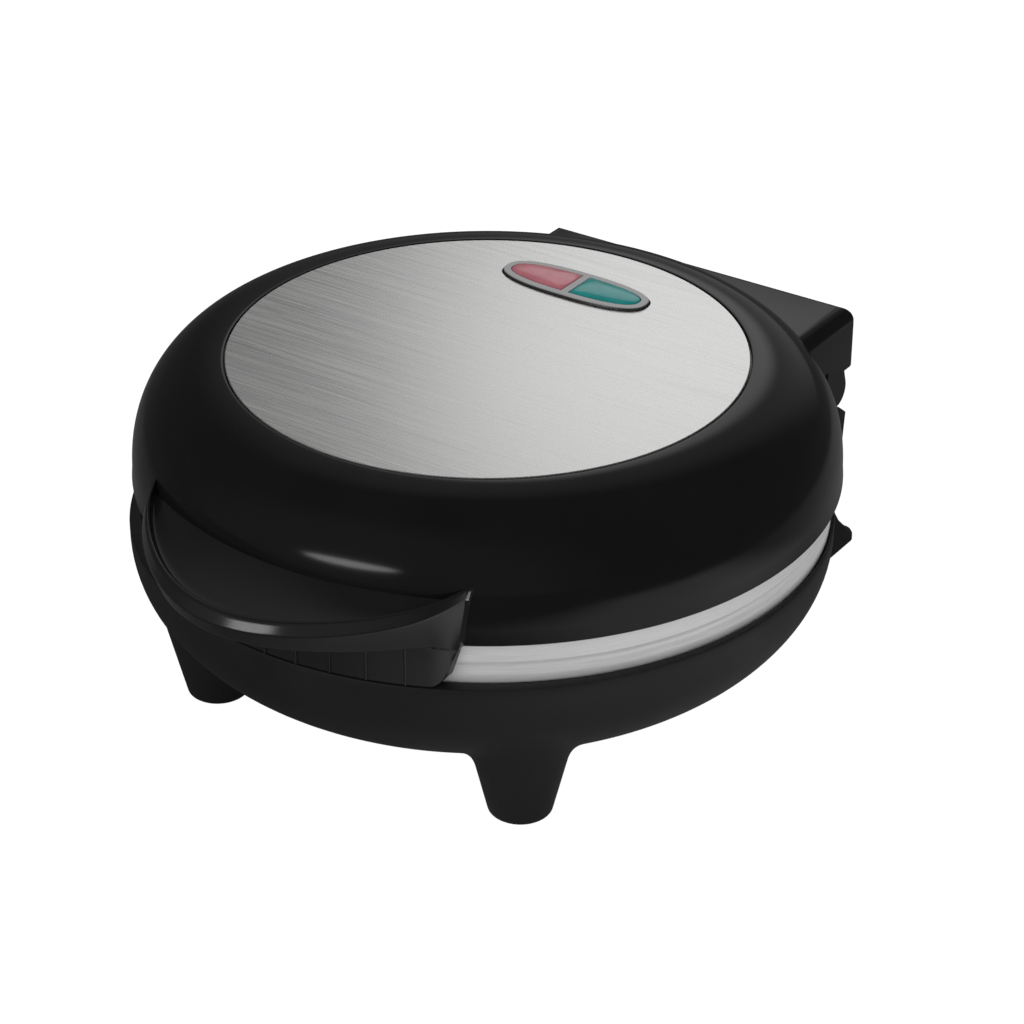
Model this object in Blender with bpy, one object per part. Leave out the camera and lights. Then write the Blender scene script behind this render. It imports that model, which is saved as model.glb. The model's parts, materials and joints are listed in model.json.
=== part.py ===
"""Electric omelette maker: a round cooker with two hinged half-moon plates.

X runs along the hinge, -Y is the front with the handle, +Z is up, and the
feet stand on z = 0. Lengths are in metres and angles in degrees.
"""
import math

import bmesh
import bpy
from mathutils import Matrix, Vector

# Whole part
LID_RADIUS = 0.1125
LID_EDGE_Z = 0.0726
LID_RISE = 0.0382
HANDLE_OVERHANG = 0.0255
BASE_FORWARD = 0.0030
WALL = 0.0026
GAP = 0.0003
OVERRUN = 0.0030
MERGE = 0.000001
ROUND_STEPS = 48
SMALL_STEPS = 14
CORNER_STEPS = 3
CURVE_STEPS = 7
SMOOTH_ANGLE = 32.0

# Lid shell
LID_EDGE_LEAN = 0.0008
LID_SIDE_RISE = 0.0040
LID_POWER = 2.13
RING_SEAT_RISE = 0.0058
RING_STOP_HEIGHT = 0.0012
RING_STOP_INSET = 0.0019

# Top disc
DISC_BORDER = 0.0310
DISC_THICKNESS = 0.0008
DISC_MARGIN = 0.0005

# Trim ring
RING_INSET = 0.0036
RING_WALL = 0.0016
RING_DROP = 0.0150
RING_LIP_WIDTH = 0.0045
RING_LIP_THICKNESS = 0.0012
RING_EDGE_ROUND = 0.0004
RING_GROOVE_DEPTH = 0.0006
RING_WIDE_GROOVE_DROP = 0.0073
RING_WIDE_GROOVE_WIDTH = 0.0012
RING_FINE_GROOVE_DROP = 0.0106
RING_FINE_GROOVE_WIDTH = 0.0006

# Base shell
RIM_Z = 0.0591
RIM_ROUND = 0.0007
RIM_STEP = 0.0021
RIM_CLEARANCE = 0.0010
BASE_INSET = 0.0009
BASE_SIDE_DROP = 0.0032
BOWL_DEPTH = 0.0460
BOWL_FLAT_SHARE = 0.275
BOWL_POWER = 2.15

# Front feet and pads
FOOT_X_SHARE = 0.5182
FOOT_FORWARD_SHARE = 0.5982
FOOT_TOP_RADIUS = 0.0187
FOOT_BOTTOM_RADIUS = 0.0100
FOOT_TOP_Z = 0.0380
FOOT_ROUND = 0.0014
PAD_LIFT = 0.0005
PAD_RADIUS = 0.0070
PAD_THICKNESS = 0.0024
REAR_PAD_X = 0.0470
REAR_PAD_FORWARD = 0.0040

# Rear bracket with its two legs
BRACKET_HALF_WIDTH = 0.0597
BRACKET_BACK = 0.0098
BRACKET_TOP_Z = 0.0557
BRACKET_SIDE_DRAFT = 0.0017
BRACKET_BACK_DRAFT = 0.0022
BRACKET_ROOT = 0.0325
BRACKET_FRONT_Z = 0.0340
BRACKET_CORNER = 0.0024
STOP_BACK = 0.0022
LEG_TOE = 0.0145
LEG_LENGTH = 0.0345
LEG_FRONT_Z = 0.0220
LEG_ARCH_HALF_WIDTH = 0.0340
LEG_ARCH_TOP_Z = 0.0280
LEG_ARCH_ROUND = 0.0080
LEG_FOOT_SPREAD = 0.0040
LEG_FOOT_LIP = 0.0030
LEG_FOOT_TOP_Z = 0.0061
LEG_FOOT_ROUND = 0.0045
LEG_FOOT_EDGE = 0.0010
INLET_RADIUS = 0.0046
INLET_Z = 0.0415
INLET_COLLAR = 0.0022
INLET_COLLAR_REACH = 0.0016

# Hinge
PIVOT_OFFSET = 0.0075
PIVOT_DROP = 0.0100
OPEN_ANGLE = 90.0
KNUCKLE_RADIUS = 0.0059
BARREL_RADIUS = 0.0055
BARREL_HALF_LENGTH = 0.0434
WEB_HALF_WIDTH = 0.0040
PIN_RADIUS = 0.0020
PIN_CLEARANCE = 0.00008
PIN_LENGTH = 0.0260
PIN_START = 0.0300

# Hinge block on the lid
BLOCK_HALF_WIDTH = 0.0597
BLOCK_RISE = 0.0164
BLOCK_TOP_BACK = 0.0085
BLOCK_HEEL_BACK = 0.0112
BLOCK_HEEL_DROP = 0.0040
BLOCK_HEEL_ROUND = 0.0028
BLOCK_NECK_BACK = 0.0043
BLOCK_ROUND = 0.0034
BLOCK_CORNER = 0.0018
BLOCK_END_ROUND = 0.0030
BLOCK_HOLLOW_OFFSET = 0.0010
KNUCKLE_NECK_ANGLE = 20.0
KNUCKLE_FORWARD = 0.0070
KNUCKLE_INNER_X = 0.0440

# Handle
HANDLE_HALF_WIDTH = 0.0574
HANDLE_SEAT = 0.0012
HANDLE_TOP_RISE = 0.0155
HANDLE_LIP_SETBACK = 0.0014
HANDLE_LIP_SWEEP = 0.0430
HANDLE_LIP_RISE = 0.0043
HANDLE_LIP_FALL = 0.0046
HANDLE_UNDER_RISE = 0.0012
HANDLE_CREST_SWEEP = 0.0378
HANDLE_CREST_TURN = 0.0055
HANDLE_CREST_POWER = 16
HANDLE_CREST_RISE = 0.0127
HANDLE_CREST_LIFT = 0.0026
HANDLE_CREST_WIDTH = 0.0028
HANDLE_DISH_DEPTH = 0.0031
HANDLE_DISH_POWER = 1.5
HANDLE_DEPTH = 0.0780
HANDLE_FOOT_HALF_WIDTH = 0.0583
SKIRT_HALF_WIDTH = 0.0552
SKIRT_CORNER = 0.0055
HANDLE_STATIONS = 28
HANDLE_EDGE = 0.0007
HANDLE_MELD = 0.0004
SKIRT_DROP = 0.0131
SKIRT_CLEARANCE = 0.0004
RIB_PITCH = 0.0110
RIB_WIDTH = 0.0012
RIB_HEIGHT = 0.0008
RIB_COUNT_EACH_WAY = 4
HANDLE_SCREW_X = 0.0300
HANDLE_SCREW_RISE = 0.0100

# Indicator
LIGHT_BACK_SHARE = 0.6209
LIGHT_HALF_LENGTH = 0.0276
LIGHT_HALF_WIDTH = 0.0096
LIGHT_POWER = 2.5
LIGHT_STEPS = 36
LIGHT_LIFT = 0.0022
LIGHT_EDGE = 0.0006
LIGHT_FRAME = 0.0031
LIGHT_BAR = 0.0025
LIGHT_LEDGE = 0.0016
LIGHT_NECK = 0.0012
LIGHT_DEPTH = 0.0090
LENS_CROWN = 0.0009
LENS_THICKNESS = 0.0016
LENS_ROUND = 0.0042
LENS_STEPS = 12
LAMP_X = 0.0125
TRAY_THICKNESS = 0.0012
LAMP_RADIUS = 0.0024
LAMP_LENGTH = 0.0120
CRADLE_WIDTH = 0.0014
CRADLE_HEIGHT = 0.0030

# Cooking plates
PLATE_PARTING_Z = 0.0583
PLATE_INSET = 0.0053
PLATE_FLANGE = 0.0030
PLATE_WALL = 0.0030
PLATE_EDGE_ROUND = 0.0006
MOON_MARGIN = 0.0136
MOON_FLAT = 0.0060
MOON_CORNER = 0.0130
MOON_DEPTH = 0.0140
MOON_DRAFT = 0.0022
MOON_FLOOR_ROUND = 0.0035
MOON_STEPS = 12
PLATE_SHELF = 0.0030
SHELF_WIDTH = 0.0037

# Heating elements, reflectors and controls
ELEMENT_RADIUS = 0.0033
ELEMENT_SHARE = 0.5556
ELEMENT_MOUTH = 14.0
ELEMENT_BEND = 0.0080
ELEMENT_LEAD = 0.0120
ELEMENT_PIN_RADIUS = 0.0012
ELEMENT_PIN_LENGTH = 0.0090
ELEMENT_STEPS = 28
TUBE_SIDES = 8
REFLECTOR_INSET = 0.0116
REFLECTOR_THICKNESS = 0.0008
REFLECTOR_RIM_RISE = 0.0070
REFLECTOR_RIM_WIDTH = 0.0080
THERMOSTAT_X = 0.0250
THERMOSTAT_RADIUS = 0.0075
THERMOSTAT_HEIGHT = 0.0050
THERMOSTAT_CAP_RADIUS = 0.0088
THERMOSTAT_CAP_HEIGHT = 0.0012
BLADE_LENGTH = 0.0080
BLADE_WIDTH = 0.0042
BLADE_THICKNESS = 0.0008
FUSE_X = 0.0240
FUSE_RADIUS = 0.0020
FUSE_LENGTH = 0.0120
FUSE_LEAD_RADIUS = 0.0006
FUSE_LEAD_LENGTH = 0.0060
TERMINAL_LENGTH = 0.0300
TERMINAL_WIDTH = 0.0140
TERMINAL_HEIGHT = 0.0120
TERMINAL_POLES = 3
TERMINAL_BORE = 0.0022
TERMINAL_FORWARD = 0.0070

# Screws and their posts
POST_SHARE = 0.55
PLATE_BOSS_RADIUS = 0.0050
POST_RADIUS = 0.0056
PLATE_BOSS_DROP = 0.0072
SCREW_RADIUS = 0.0018
SCREW_LENGTH = 0.0150
SCREW_BITE = 0.0060
HEAD_RADIUS = 0.0035
HEAD_HEIGHT = 0.0024
HEAD_SLOT_WIDTH = 0.0010
HEAD_SLOT_DEPTH = 0.0011
SMALL_SCREW_RADIUS = 0.0014
SMALL_SCREW_LENGTH = 0.0085
SMALL_HEAD_RADIUS = 0.0025
SMALL_HEAD_HEIGHT = 0.0018

# Places that follow from the sizes
LID_SIDE_RADIUS = LID_RADIUS - LID_EDGE_LEAN
RING_RADIUS = LID_RADIUS - RING_INSET
RING_STOP_RADIUS = RING_RADIUS - RING_STOP_INSET
BASE_RADIUS = LID_RADIUS - BASE_INSET
BOWL_FLAT_RADIUS = BASE_RADIUS * BOWL_FLAT_SHARE
DISC_RADIUS = LID_RADIUS - DISC_BORDER
LID_FLAT_RADIUS = DISC_RADIUS + DISC_MARGIN
PLATE_RADIUS = RING_RADIUS - PLATE_INSET
MOON_RADIUS = PLATE_RADIUS - MOON_MARGIN
ELEMENT_RING = MOON_RADIUS * ELEMENT_SHARE
REFLECTOR_RADIUS = PLATE_RADIUS - REFLECTOR_INSET
POST_SPREAD = MOON_RADIUS * POST_SHARE
RECESS_RADIUS = RING_RADIUS + RIM_CLEARANCE
OPENING_RADIUS = PLATE_RADIUS + GAP
HANDLE_REACH = LID_RADIUS + HANDLE_OVERHANG
HANDLE_LIP_REACH = HANDLE_REACH - HANDLE_LIP_SETBACK
PIVOT_REACH = LID_RADIUS + PIVOT_OFFSET
FOOT_REACH = PIVOT_REACH + LEG_TOE
LID_Y = (HANDLE_REACH - FOOT_REACH) / 2
BASE_Y = LID_Y - BASE_FORWARD
FOOT_X = LID_RADIUS * FOOT_X_SHARE
FOOT_Y = LID_Y - LID_RADIUS * FOOT_FORWARD_SHARE
LIGHT_Y = LID_Y + DISC_RADIUS * LIGHT_BACK_SHARE
LID_TOP_Z = LID_EDGE_Z + LID_RISE
RECESS_Z = LID_TOP_Z - DISC_THICKNESS - GAP
PIVOT = Vector((0, LID_Y + PIVOT_REACH, LID_EDGE_Z - PIVOT_DROP))
RING_BOTTOM_Z = LID_EDGE_Z - RING_DROP
LEDGE_Z = RIM_Z - RIM_STEP
BOWL_TOP_Z = RIM_Z - BASE_SIDE_DROP
BOWL_BOTTOM_Z = BOWL_TOP_Z - BOWL_DEPTH
LOWER_FACE_Z = PLATE_PARTING_Z - GAP / 2
UPPER_FACE_Z = PLATE_PARTING_Z + GAP / 2
SHELF_Z = LOWER_FACE_Z - PLATE_FLANGE - GAP
TUB_DEPTH = MOON_DEPTH + PLATE_WALL
ELEMENT_DROP = TUB_DEPTH + GAP + ELEMENT_RADIUS
BOSS_DROP = TUB_DEPTH + PLATE_BOSS_DROP
REFLECTOR_DROP = BOSS_DROP + GAP
POST_DROP = REFLECTOR_DROP + REFLECTOR_THICKNESS + GAP
LOWER_SEAT_Z = LOWER_FACE_Z - BOSS_DROP + SCREW_BITE - SCREW_LENGTH
UPPER_SEAT_Z = UPPER_FACE_Z + BOSS_DROP - SCREW_BITE + SCREW_LENGTH
BLOCK_BACK_TOP = (PIVOT.y + BLOCK_TOP_BACK, LID_EDGE_Z + BLOCK_RISE)
BLOCK_HEEL = (PIVOT.y + BLOCK_HEEL_BACK, LID_EDGE_Z - BLOCK_HEEL_DROP)
BLOCK_NECK = (PIVOT.y + BLOCK_NECK_BACK, LID_EDGE_Z - BLOCK_HEEL_DROP)
BRACKET_BACK_Y = PIVOT.y + BRACKET_BACK
BRACKET_ROOT_Y = LID_Y + LID_RADIUS - BRACKET_ROOT
LEG_BACK_Y = LID_Y + FOOT_REACH
LEG_FRONT_Y = LEG_BACK_Y - LEG_LENGTH
POST_PLACES = [(x, y) for x in (-POST_SPREAD, POST_SPREAD) for y in (-POST_SPREAD, POST_SPREAD)]

LOOKS = {
    "gloss_black": ((0.012, 0.012, 0.013), 0.18, 0.0),
    "satin_black": ((0.020, 0.020, 0.021), 0.45, 0.0),
    "brushed_steel": ((0.62, 0.62, 0.61), 0.32, 1.0),
    "satin_silver": ((0.52, 0.52, 0.53), 0.42, 0.9),
    "bezel_grey": ((0.30, 0.31, 0.33), 0.40, 0.0),
    "red_lens": ((0.45, 0.05, 0.07), 0.10, 0.0),
    "green_lens": ((0.01, 0.33, 0.27), 0.10, 0.0),
    "lamp_glass": ((0.80, 0.80, 0.78), 0.05, 0.0),
    "coated_plate": ((0.030, 0.030, 0.032), 0.50, 0.2),
    "sheathed_tube": ((0.30, 0.27, 0.24), 0.45, 1.0),
    "sheet_aluminium": ((0.70, 0.71, 0.72), 0.35, 1.0),
    "zinc_steel": ((0.56, 0.57, 0.58), 0.35, 1.0),
    "white_insulator": ((0.80, 0.79, 0.76), 0.40, 0.0),
    "foot_rubber": ((0.022, 0.022, 0.022), 0.80, 0.0),
}


def clear_scene():
    for item in list(bpy.data.objects):
        bpy.data.objects.remove(item, do_unlink=True)


def material(look):
    found = bpy.data.materials.get(look)
    if found:
        return found
    made = bpy.data.materials.new(look)
    made.use_nodes = True
    shader = made.node_tree.nodes["Principled BSDF"]
    colour, roughness, metallic = LOOKS[look]
    shader.inputs["Base Color"].default_value = (*colour, 1.0)
    shader.inputs["Roughness"].default_value = roughness
    shader.inputs["Metallic"].default_value = metallic
    made.diffuse_color = (*colour, 1.0)
    return made


def finish(name, bm, look=None):
    """Turn a closed bmesh into an object; one without a look is a cutter."""
    bmesh.ops.remove_doubles(bm, verts=bm.verts, dist=MERGE)
    bmesh.ops.recalc_face_normals(bm, faces=bm.faces)
    mesh = bpy.data.meshes.new(name)
    bm.to_mesh(mesh)
    bm.free()
    made = bpy.data.objects.new(name, mesh)
    bpy.context.scene.collection.objects.link(made)
    if look:
        mesh.materials.append(material(look))
        mesh.shade_smooth()
        mesh.set_sharp_from_angle(angle=math.radians(SMOOTH_ANGLE))
    else:
        made.hide_render = True
        made.display_type = "WIRE"
    return made


def combine(target, tool, operation):
    """Join a hidden tool to the target, or cut it away; the tool stays."""
    step = target.modifiers.new(tool.name, "BOOLEAN")
    step.operation = operation
    step.solver = "EXACT"
    step.object = tool
    tool.hide_render = True
    tool.display_type = "WIRE"


def cut(target, *tools):
    for tool in tools:
        combine(target, tool, "DIFFERENCE")


def join(target, *tools):
    for tool in tools:
        combine(target, tool, "UNION")


def keep_common(target, tool):
    combine(target, tool, "INTERSECT")


def lathe(name, profile, y, look=None, steps=ROUND_STEPS, x=0.0):
    """Spin (radius, z) points about the upright axis through (x, y)."""
    bm = bmesh.new()
    verts = [bm.verts.new((radius, 0, z)) for radius, z in profile]
    edges = [bm.edges.new(pair) for pair in zip(verts, verts[1:])]
    if profile[0][0] > MERGE or profile[-1][0] > MERGE:
        edges.append(bm.edges.new((verts[-1], verts[0])))
    bmesh.ops.spin(bm, geom=verts + edges, cent=(0, 0, 0), axis=(0, 0, 1),
                   angle=math.tau, steps=steps, use_merge=True)
    bmesh.ops.translate(bm, verts=bm.verts, vec=(x, y, 0))
    return finish(name, bm, look)


def loft(name, sections, look=None):
    """Bridge closed sections of equal point counts and cap both ends."""
    bm = bmesh.new()
    rings = [[bm.verts.new(point) for point in section] for section in sections]
    for ring, following in zip(rings, rings[1:]):
        for index, vert in enumerate(ring):
            after = (index + 1) % len(ring)
            bm.faces.new((vert, ring[after], following[after], following[index]))
    bm.faces.new(rings[0])
    bm.faces.new(rings[-1])
    return finish(name, bm, look)


def prism(name, outline, low, high, look=None):
    """Raise an XY outline from one height to another."""
    return loft(name, [[(x, y, z) for x, y in outline] for z in (low, high)], look)


def slab(name, outline, left, right, look=None):
    """Stretch a YZ outline along X."""
    return loft(name, [[(x, y, z) for y, z in outline] for x in (left, right)], look)


def rod(name, start, end, radius, look=None, steps=SMALL_STEPS, end_radius=None):
    """A straight round bar, or a cone where the end radius differs."""
    start = Vector(start)
    run = Vector(end) - start
    turn = run.to_track_quat("Z", "Y").to_matrix().to_4x4()
    place = Matrix.Translation(start + run / 2) @ turn
    bm = bmesh.new()
    bmesh.ops.create_cone(bm, cap_ends=True, segments=steps, radius1=radius,
                          radius2=radius if end_radius is None else end_radius,
                          depth=run.length, matrix=place)
    return finish(name, bm, look)


def tube(name, path, radius, look=None, steps=TUBE_SIDES):
    """A round bar along a path of points, with flat ends."""
    points = [Vector(point) for point in path]
    sections = []
    side = None
    for index, point in enumerate(points):
        before = points[max(index - 1, 0)]
        after = points[min(index + 1, len(points) - 1)]
        along = (after - before).normalized()
        if side is None:
            side = along.cross(Vector((0, 0, 1))).normalized()
        side = (side - along * side.dot(along)).normalized()
        lift = along.cross(side)
        turns = [math.tau * step / steps for step in range(steps)]
        sections.append([point + side * radius * math.cos(turn) + lift * radius * math.sin(turn)
                         for turn in turns])
    return loft(name, sections, look)


def box(name, low, high, look=None):
    return prism(name, [(low[0], low[1]), (high[0], low[1]), (high[0], high[1]), (low[0], high[1])],
                 low[2], high[2], look)


def fillet_centre(before, corner, after, radius):
    """The centre of the arc that rounds a corner between two points."""
    corner = Vector(corner)
    back = (Vector(before) - corner).normalized()
    ahead = (Vector(after) - corner).normalized()
    return corner + (back + ahead).normalized() * radius / math.sin(back.angle(ahead) / 2)


def rounded(outline, radii):
    """Round each corner of a 2-D outline with its own arc radius."""
    points = []
    count = len(outline)
    for index, corner in enumerate(outline):
        radius = radii[index]
        if radius < MERGE:
            points.append(tuple(corner))
            continue
        before, after = outline[index - 1], outline[(index + 1) % count]
        centre = fillet_centre(before, corner, after, radius)
        back = (Vector(before) - Vector(corner)).normalized()
        ahead = (Vector(after) - Vector(corner)).normalized()
        first = Vector(corner) + back * back.dot(centre - Vector(corner)) - centre
        last = Vector(corner) + ahead * ahead.dot(centre - Vector(corner)) - centre
        sweep = math.atan2(first.x * last.y - first.y * last.x, first.dot(last))
        for step in range(CORNER_STEPS + 1):
            turn = sweep * step / CORNER_STEPS
            points.append((centre.x + first.x * math.cos(turn) - first.y * math.sin(turn),
                           centre.y + first.x * math.sin(turn) + first.y * math.cos(turn)))
    return points


def shoulder(inner, outer, rise, power, steps=CURVE_STEPS):
    """A superellipse quarter from (outer, 0) to (inner, rise)."""
    points = []
    for step in range(steps + 1):
        turn = math.pi / 2 * step / steps
        across = max(math.cos(turn), 0) ** (2 / power)
        up = max(math.sin(turn), 0) ** (2 / power)
        points.append((inner + (outer - inner) * across, rise * up))
    return points


def arc(centre, radius, start, end, steps=CORNER_STEPS):
    turns = [math.radians(start + (end - start) * step / steps) for step in range(steps + 1)]
    return [(centre[0] + radius * math.cos(turn), centre[1] + radius * math.sin(turn)) for turn in turns]


def lid_profile():
    """(radius, z) points up the lid's outside, from its edge to its flat top."""
    curve = shoulder(LID_FLAT_RADIUS, LID_SIDE_RADIUS, LID_RISE - LID_SIDE_RISE, LID_POWER)
    side_z = LID_EDGE_Z + LID_SIDE_RISE
    return [(LID_RADIUS, LID_EDGE_Z)] + [(radius, side_z + rise) for radius, rise in curve]


def lid_radius(rise):
    """The lid's outside radius at a height over its lower edge."""
    if rise <= LID_SIDE_RISE:
        share = max(rise, 0) / LID_SIDE_RISE
        return LID_RADIUS + (LID_SIDE_RADIUS - LID_RADIUS) * share
    share = (rise - LID_SIDE_RISE) / (LID_RISE - LID_SIDE_RISE)
    reach = (1 - share ** LID_POWER) ** (1 / LID_POWER)
    return LID_FLAT_RADIUS + (LID_SIDE_RADIUS - LID_FLAT_RADIUS) * reach


def bowl_profile(inset):
    """(radius, z) points down the base's outside, moved inwards by the inset."""
    curve = shoulder(BOWL_FLAT_RADIUS, BASE_RADIUS - inset, BOWL_DEPTH - inset, BOWL_POWER)
    return [(radius, BOWL_TOP_Z - rise) for radius, rise in curve]


def bowl_radius(z, inset):
    """The same curve's radius at one height."""
    share = (BOWL_TOP_Z - z) / (BOWL_DEPTH - inset)
    reach = (1 - share ** BOWL_POWER) ** (1 / BOWL_POWER)
    return BOWL_FLAT_RADIUS + (BASE_RADIUS - inset - BOWL_FLAT_RADIUS) * reach


def stop_line(inset):
    """A point and direction of the bracket's slope, on which the open block's heel comes to rest."""
    heel = fillet_centre(BLOCK_BACK_TOP, BLOCK_HEEL, BLOCK_NECK, BLOCK_HEEL_ROUND) - PIVOT.yz
    turn = math.radians(OPEN_ANGLE)
    opened = PIVOT.yz + Vector((heel.x * math.cos(turn) + heel.y * math.sin(turn),
                                heel.y * math.cos(turn) - heel.x * math.sin(turn)))
    start = Vector((PIVOT.y + STOP_BACK, BRACKET_TOP_Z))
    run = opened - start
    slope = math.atan2(run.y, run.x) - math.asin((BLOCK_HEEL_ROUND + GAP) / run.length)
    along = Vector((math.cos(slope), math.sin(slope)))
    return start + Vector((along.y, -along.x)) * inset, along


def stop_slope_z(y, inset):
    point, along = stop_line(inset)
    return point.y + (y - point.x) * along.y / along.x


def stop_slope_y(z, inset):
    point, along = stop_line(inset)
    return point.x + (z - point.y) * along.x / along.y


def oval(half_length, half_width, power=LIGHT_POWER, steps=LIGHT_STEPS):
    """A superellipse about the indicator's centre."""
    points = []
    for step in range(steps):
        turn = math.tau * (step + 0.5) / steps
        across, along = math.cos(turn), math.sin(turn)
        points.append((half_length * math.copysign(abs(across) ** (2 / power), across),
                       LIGHT_Y + half_width * math.copysign(abs(along) ** (2 / power), along)))
    return points


def half_moon(side, inset):
    """The D outline of one pocket, inset from its mouth; side is 1 or -1."""
    radius = MOON_RADIUS - inset
    flat = MOON_FLAT + inset
    corner = MOON_CORNER - inset
    reach = radius - corner
    middle = (flat + corner, math.sqrt(reach ** 2 - (flat + corner) ** 2))
    lean = math.degrees(math.atan2(middle[1], middle[0]))
    outline = arc((0, 0), radius, -lean, lean, MOON_STEPS)
    outline += arc(middle, corner, lean, 180, CORNER_STEPS)[1:]
    outline += arc((middle[0], -middle[1]), corner, 180, 360 - lean, CORNER_STEPS)[:-1]
    return [(side * x, LID_Y + y) for x, y in outline]


def moon_levels(wall):
    """(depth, inset) steps from a tub's mouth to its floor, for one wall."""
    depth = MOON_DEPTH + wall
    turn_radius = MOON_FLOOR_ROUND + wall
    drafted = MOON_DRAFT * (depth - turn_radius) / depth
    levels = [(0, -wall), (depth - turn_radius, drafted - wall)]
    for step in range(1, CORNER_STEPS + 1):
        turn = math.pi / 2 * step / CORNER_STEPS
        levels.append((depth - turn_radius + turn_radius * math.sin(turn),
                       drafted - wall + turn_radius * (1 - math.cos(turn))))
    return levels


def cooking_plate(name, face_z, away):
    """A cast plate with two half-moon pockets; away is -1 down or 1 up."""
    back_z = face_z + away * PLATE_FLANGE
    edge = PLATE_EDGE_ROUND
    plate = lathe(name, [(0, face_z), (PLATE_RADIUS - edge, face_z), (PLATE_RADIUS, face_z + away * edge),
                         (PLATE_RADIUS, back_z - away * edge), (PLATE_RADIUS - edge, back_z), (0, back_z)],
                  LID_Y, "coated_plate")
    for side, word in ((-1, "left"), (1, "right")):
        outer = [(face_z + away * depth, inset) for depth, inset in moon_levels(PLATE_WALL)]
        outer[0] = (face_z + away * PLATE_FLANGE / 2, outer[0][1])
        join(plate, loft(f"{name}_tub_{word}", [[(x, y, z) for x, y in half_moon(side, inset)]
                                                for z, inset in outer]))
    for index, (x, y) in enumerate(POST_PLACES):
        start_z = face_z + away * (TUB_DEPTH - PLATE_WALL / 2)
        join(plate, rod(f"{name}_boss_{index}", (x, LID_Y + y, start_z),
                        (x, LID_Y + y, face_z + away * BOSS_DROP), PLATE_BOSS_RADIUS))
    for side, word in ((-1, "left"), (1, "right")):
        inner = [(face_z + away * depth, inset) for depth, inset in moon_levels(0)]
        inner.insert(0, (face_z - away * OVERRUN, inner[0][1]))
        cut(plate, loft(f"{name}_pocket_{word}", [[(x, y, z) for x, y in half_moon(side, inset)]
                                                  for z, inset in inner]))
    for index, (x, y) in enumerate(POST_PLACES):
        end_z = face_z + away * (BOSS_DROP - SCREW_BITE - GAP)
        cut(plate, rod(f"{name}_thread_{index}", (x, LID_Y + y, face_z + away * (BOSS_DROP + OVERRUN)),
                       (x, LID_Y + y, end_z), SCREW_RADIUS + GAP))
    return plate


def heating_element(name, face_z, away):
    """A sheathed ring under the tubs whose two leads turn to the rear."""
    z = face_z + away * ELEMENT_DROP
    sweep = arc((0, LID_Y), ELEMENT_RING, 90 + ELEMENT_MOUTH, 450 - ELEMENT_MOUTH, ELEMENT_STEPS)
    lead_x = ELEMENT_RING * math.sin(math.radians(ELEMENT_MOUTH))
    bend = [(-lead_x, LID_Y + ELEMENT_RING + ELEMENT_BEND), (-lead_x, LID_Y + ELEMENT_RING + ELEMENT_LEAD)]
    path = bend[::-1] + sweep + [(-x, y) for x, y in bend]
    element = tube(name, [(x, y, z) for x, y in path], ELEMENT_RADIUS, "sheathed_tube")
    for side, word in ((-1, "left"), (1, "right")):
        start = (side * lead_x, path[0][1] - ELEMENT_RADIUS, z)
        end = (side * lead_x, path[0][1] + ELEMENT_PIN_LENGTH, z)
        join(element, rod(f"{name}_pin_{word}", start, end, ELEMENT_PIN_RADIUS, steps=SMALL_STEPS // 2))
    return element


def reflector(name, face_z, away):
    """A thin pressed pan behind the element, drilled for the posts."""
    near = face_z + away * REFLECTOR_DROP
    far = near + away * REFLECTOR_THICKNESS
    slope = REFLECTOR_RADIUS - REFLECTOR_RIM_WIDTH
    rim = near - away * REFLECTOR_RIM_RISE
    rim_far = rim + away * REFLECTOR_THICKNESS
    pan = lathe(name, [(0, near), (slope, near), (REFLECTOR_RADIUS, rim),
                       (REFLECTOR_RADIUS + REFLECTOR_THICKNESS, rim_far),
                       (slope + REFLECTOR_THICKNESS / 2, far), (0, far)], LID_Y, "sheet_aluminium")
    for index, (x, y) in enumerate(POST_PLACES):
        cut(pan, rod(f"{name}_hole_{index}", (x, LID_Y + y, near - away * OVERRUN),
                     (x, LID_Y + y, far + away * OVERRUN), SCREW_RADIUS + GAP))
    return pan


def thermostat(name, face_z, away):
    """A bimetal thermostat clamped on the back of the left tub."""
    near = face_z + away * (TUB_DEPTH + GAP)
    step = near + away * THERMOSTAT_CAP_HEIGHT
    far = near + away * THERMOSTAT_HEIGHT
    body = lathe(name, [(0, near), (THERMOSTAT_CAP_RADIUS, near), (THERMOSTAT_CAP_RADIUS, step),
                        (THERMOSTAT_RADIUS, step), (THERMOSTAT_RADIUS, far), (0, far)],
                 LID_Y, "white_insulator", SMALL_STEPS, -THERMOSTAT_X)
    blade_z = sorted((far - away * BLADE_THICKNESS * 2, far - away * BLADE_THICKNESS))
    for side, word in ((-1, "front"), (1, "rear")):
        inner = LID_Y + side * (THERMOSTAT_RADIUS - BLADE_WIDTH / 2)
        outer = inner + side * BLADE_LENGTH
        low_y, high_y = sorted((inner, outer))
        join(body, box(f"{name}_blade_{word}", (-THERMOSTAT_X - BLADE_WIDTH / 2, low_y, blade_z[0]),
                       (-THERMOSTAT_X + BLADE_WIDTH / 2, high_y, blade_z[1])))
    return body


def screw(name, seat, along, radius, length, head_radius, head_height):
    """A slotted screw; seat is under its head and along points down its shank."""
    seat = Vector(seat)
    along = Vector(along)
    body = rod(name, seat - along * head_height, seat, head_radius, "zinc_steel")
    join(body, rod(f"{name}_shank", seat - along * head_height / 2, seat + along * length, radius))
    across = along.orthogonal().normalized()
    half_width = along.cross(across) * HEAD_SLOT_WIDTH / 2
    reach = across * (head_radius + OVERRUN)
    top = seat - along * (head_height + OVERRUN)
    floor = seat - along * (head_height - HEAD_SLOT_DEPTH)
    cut(body, loft(f"{name}_slot", [[level + reach + half_width, level + reach - half_width,
                                     level - reach - half_width, level - reach + half_width]
                                    for level in (top, floor)]))
    return body


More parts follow.
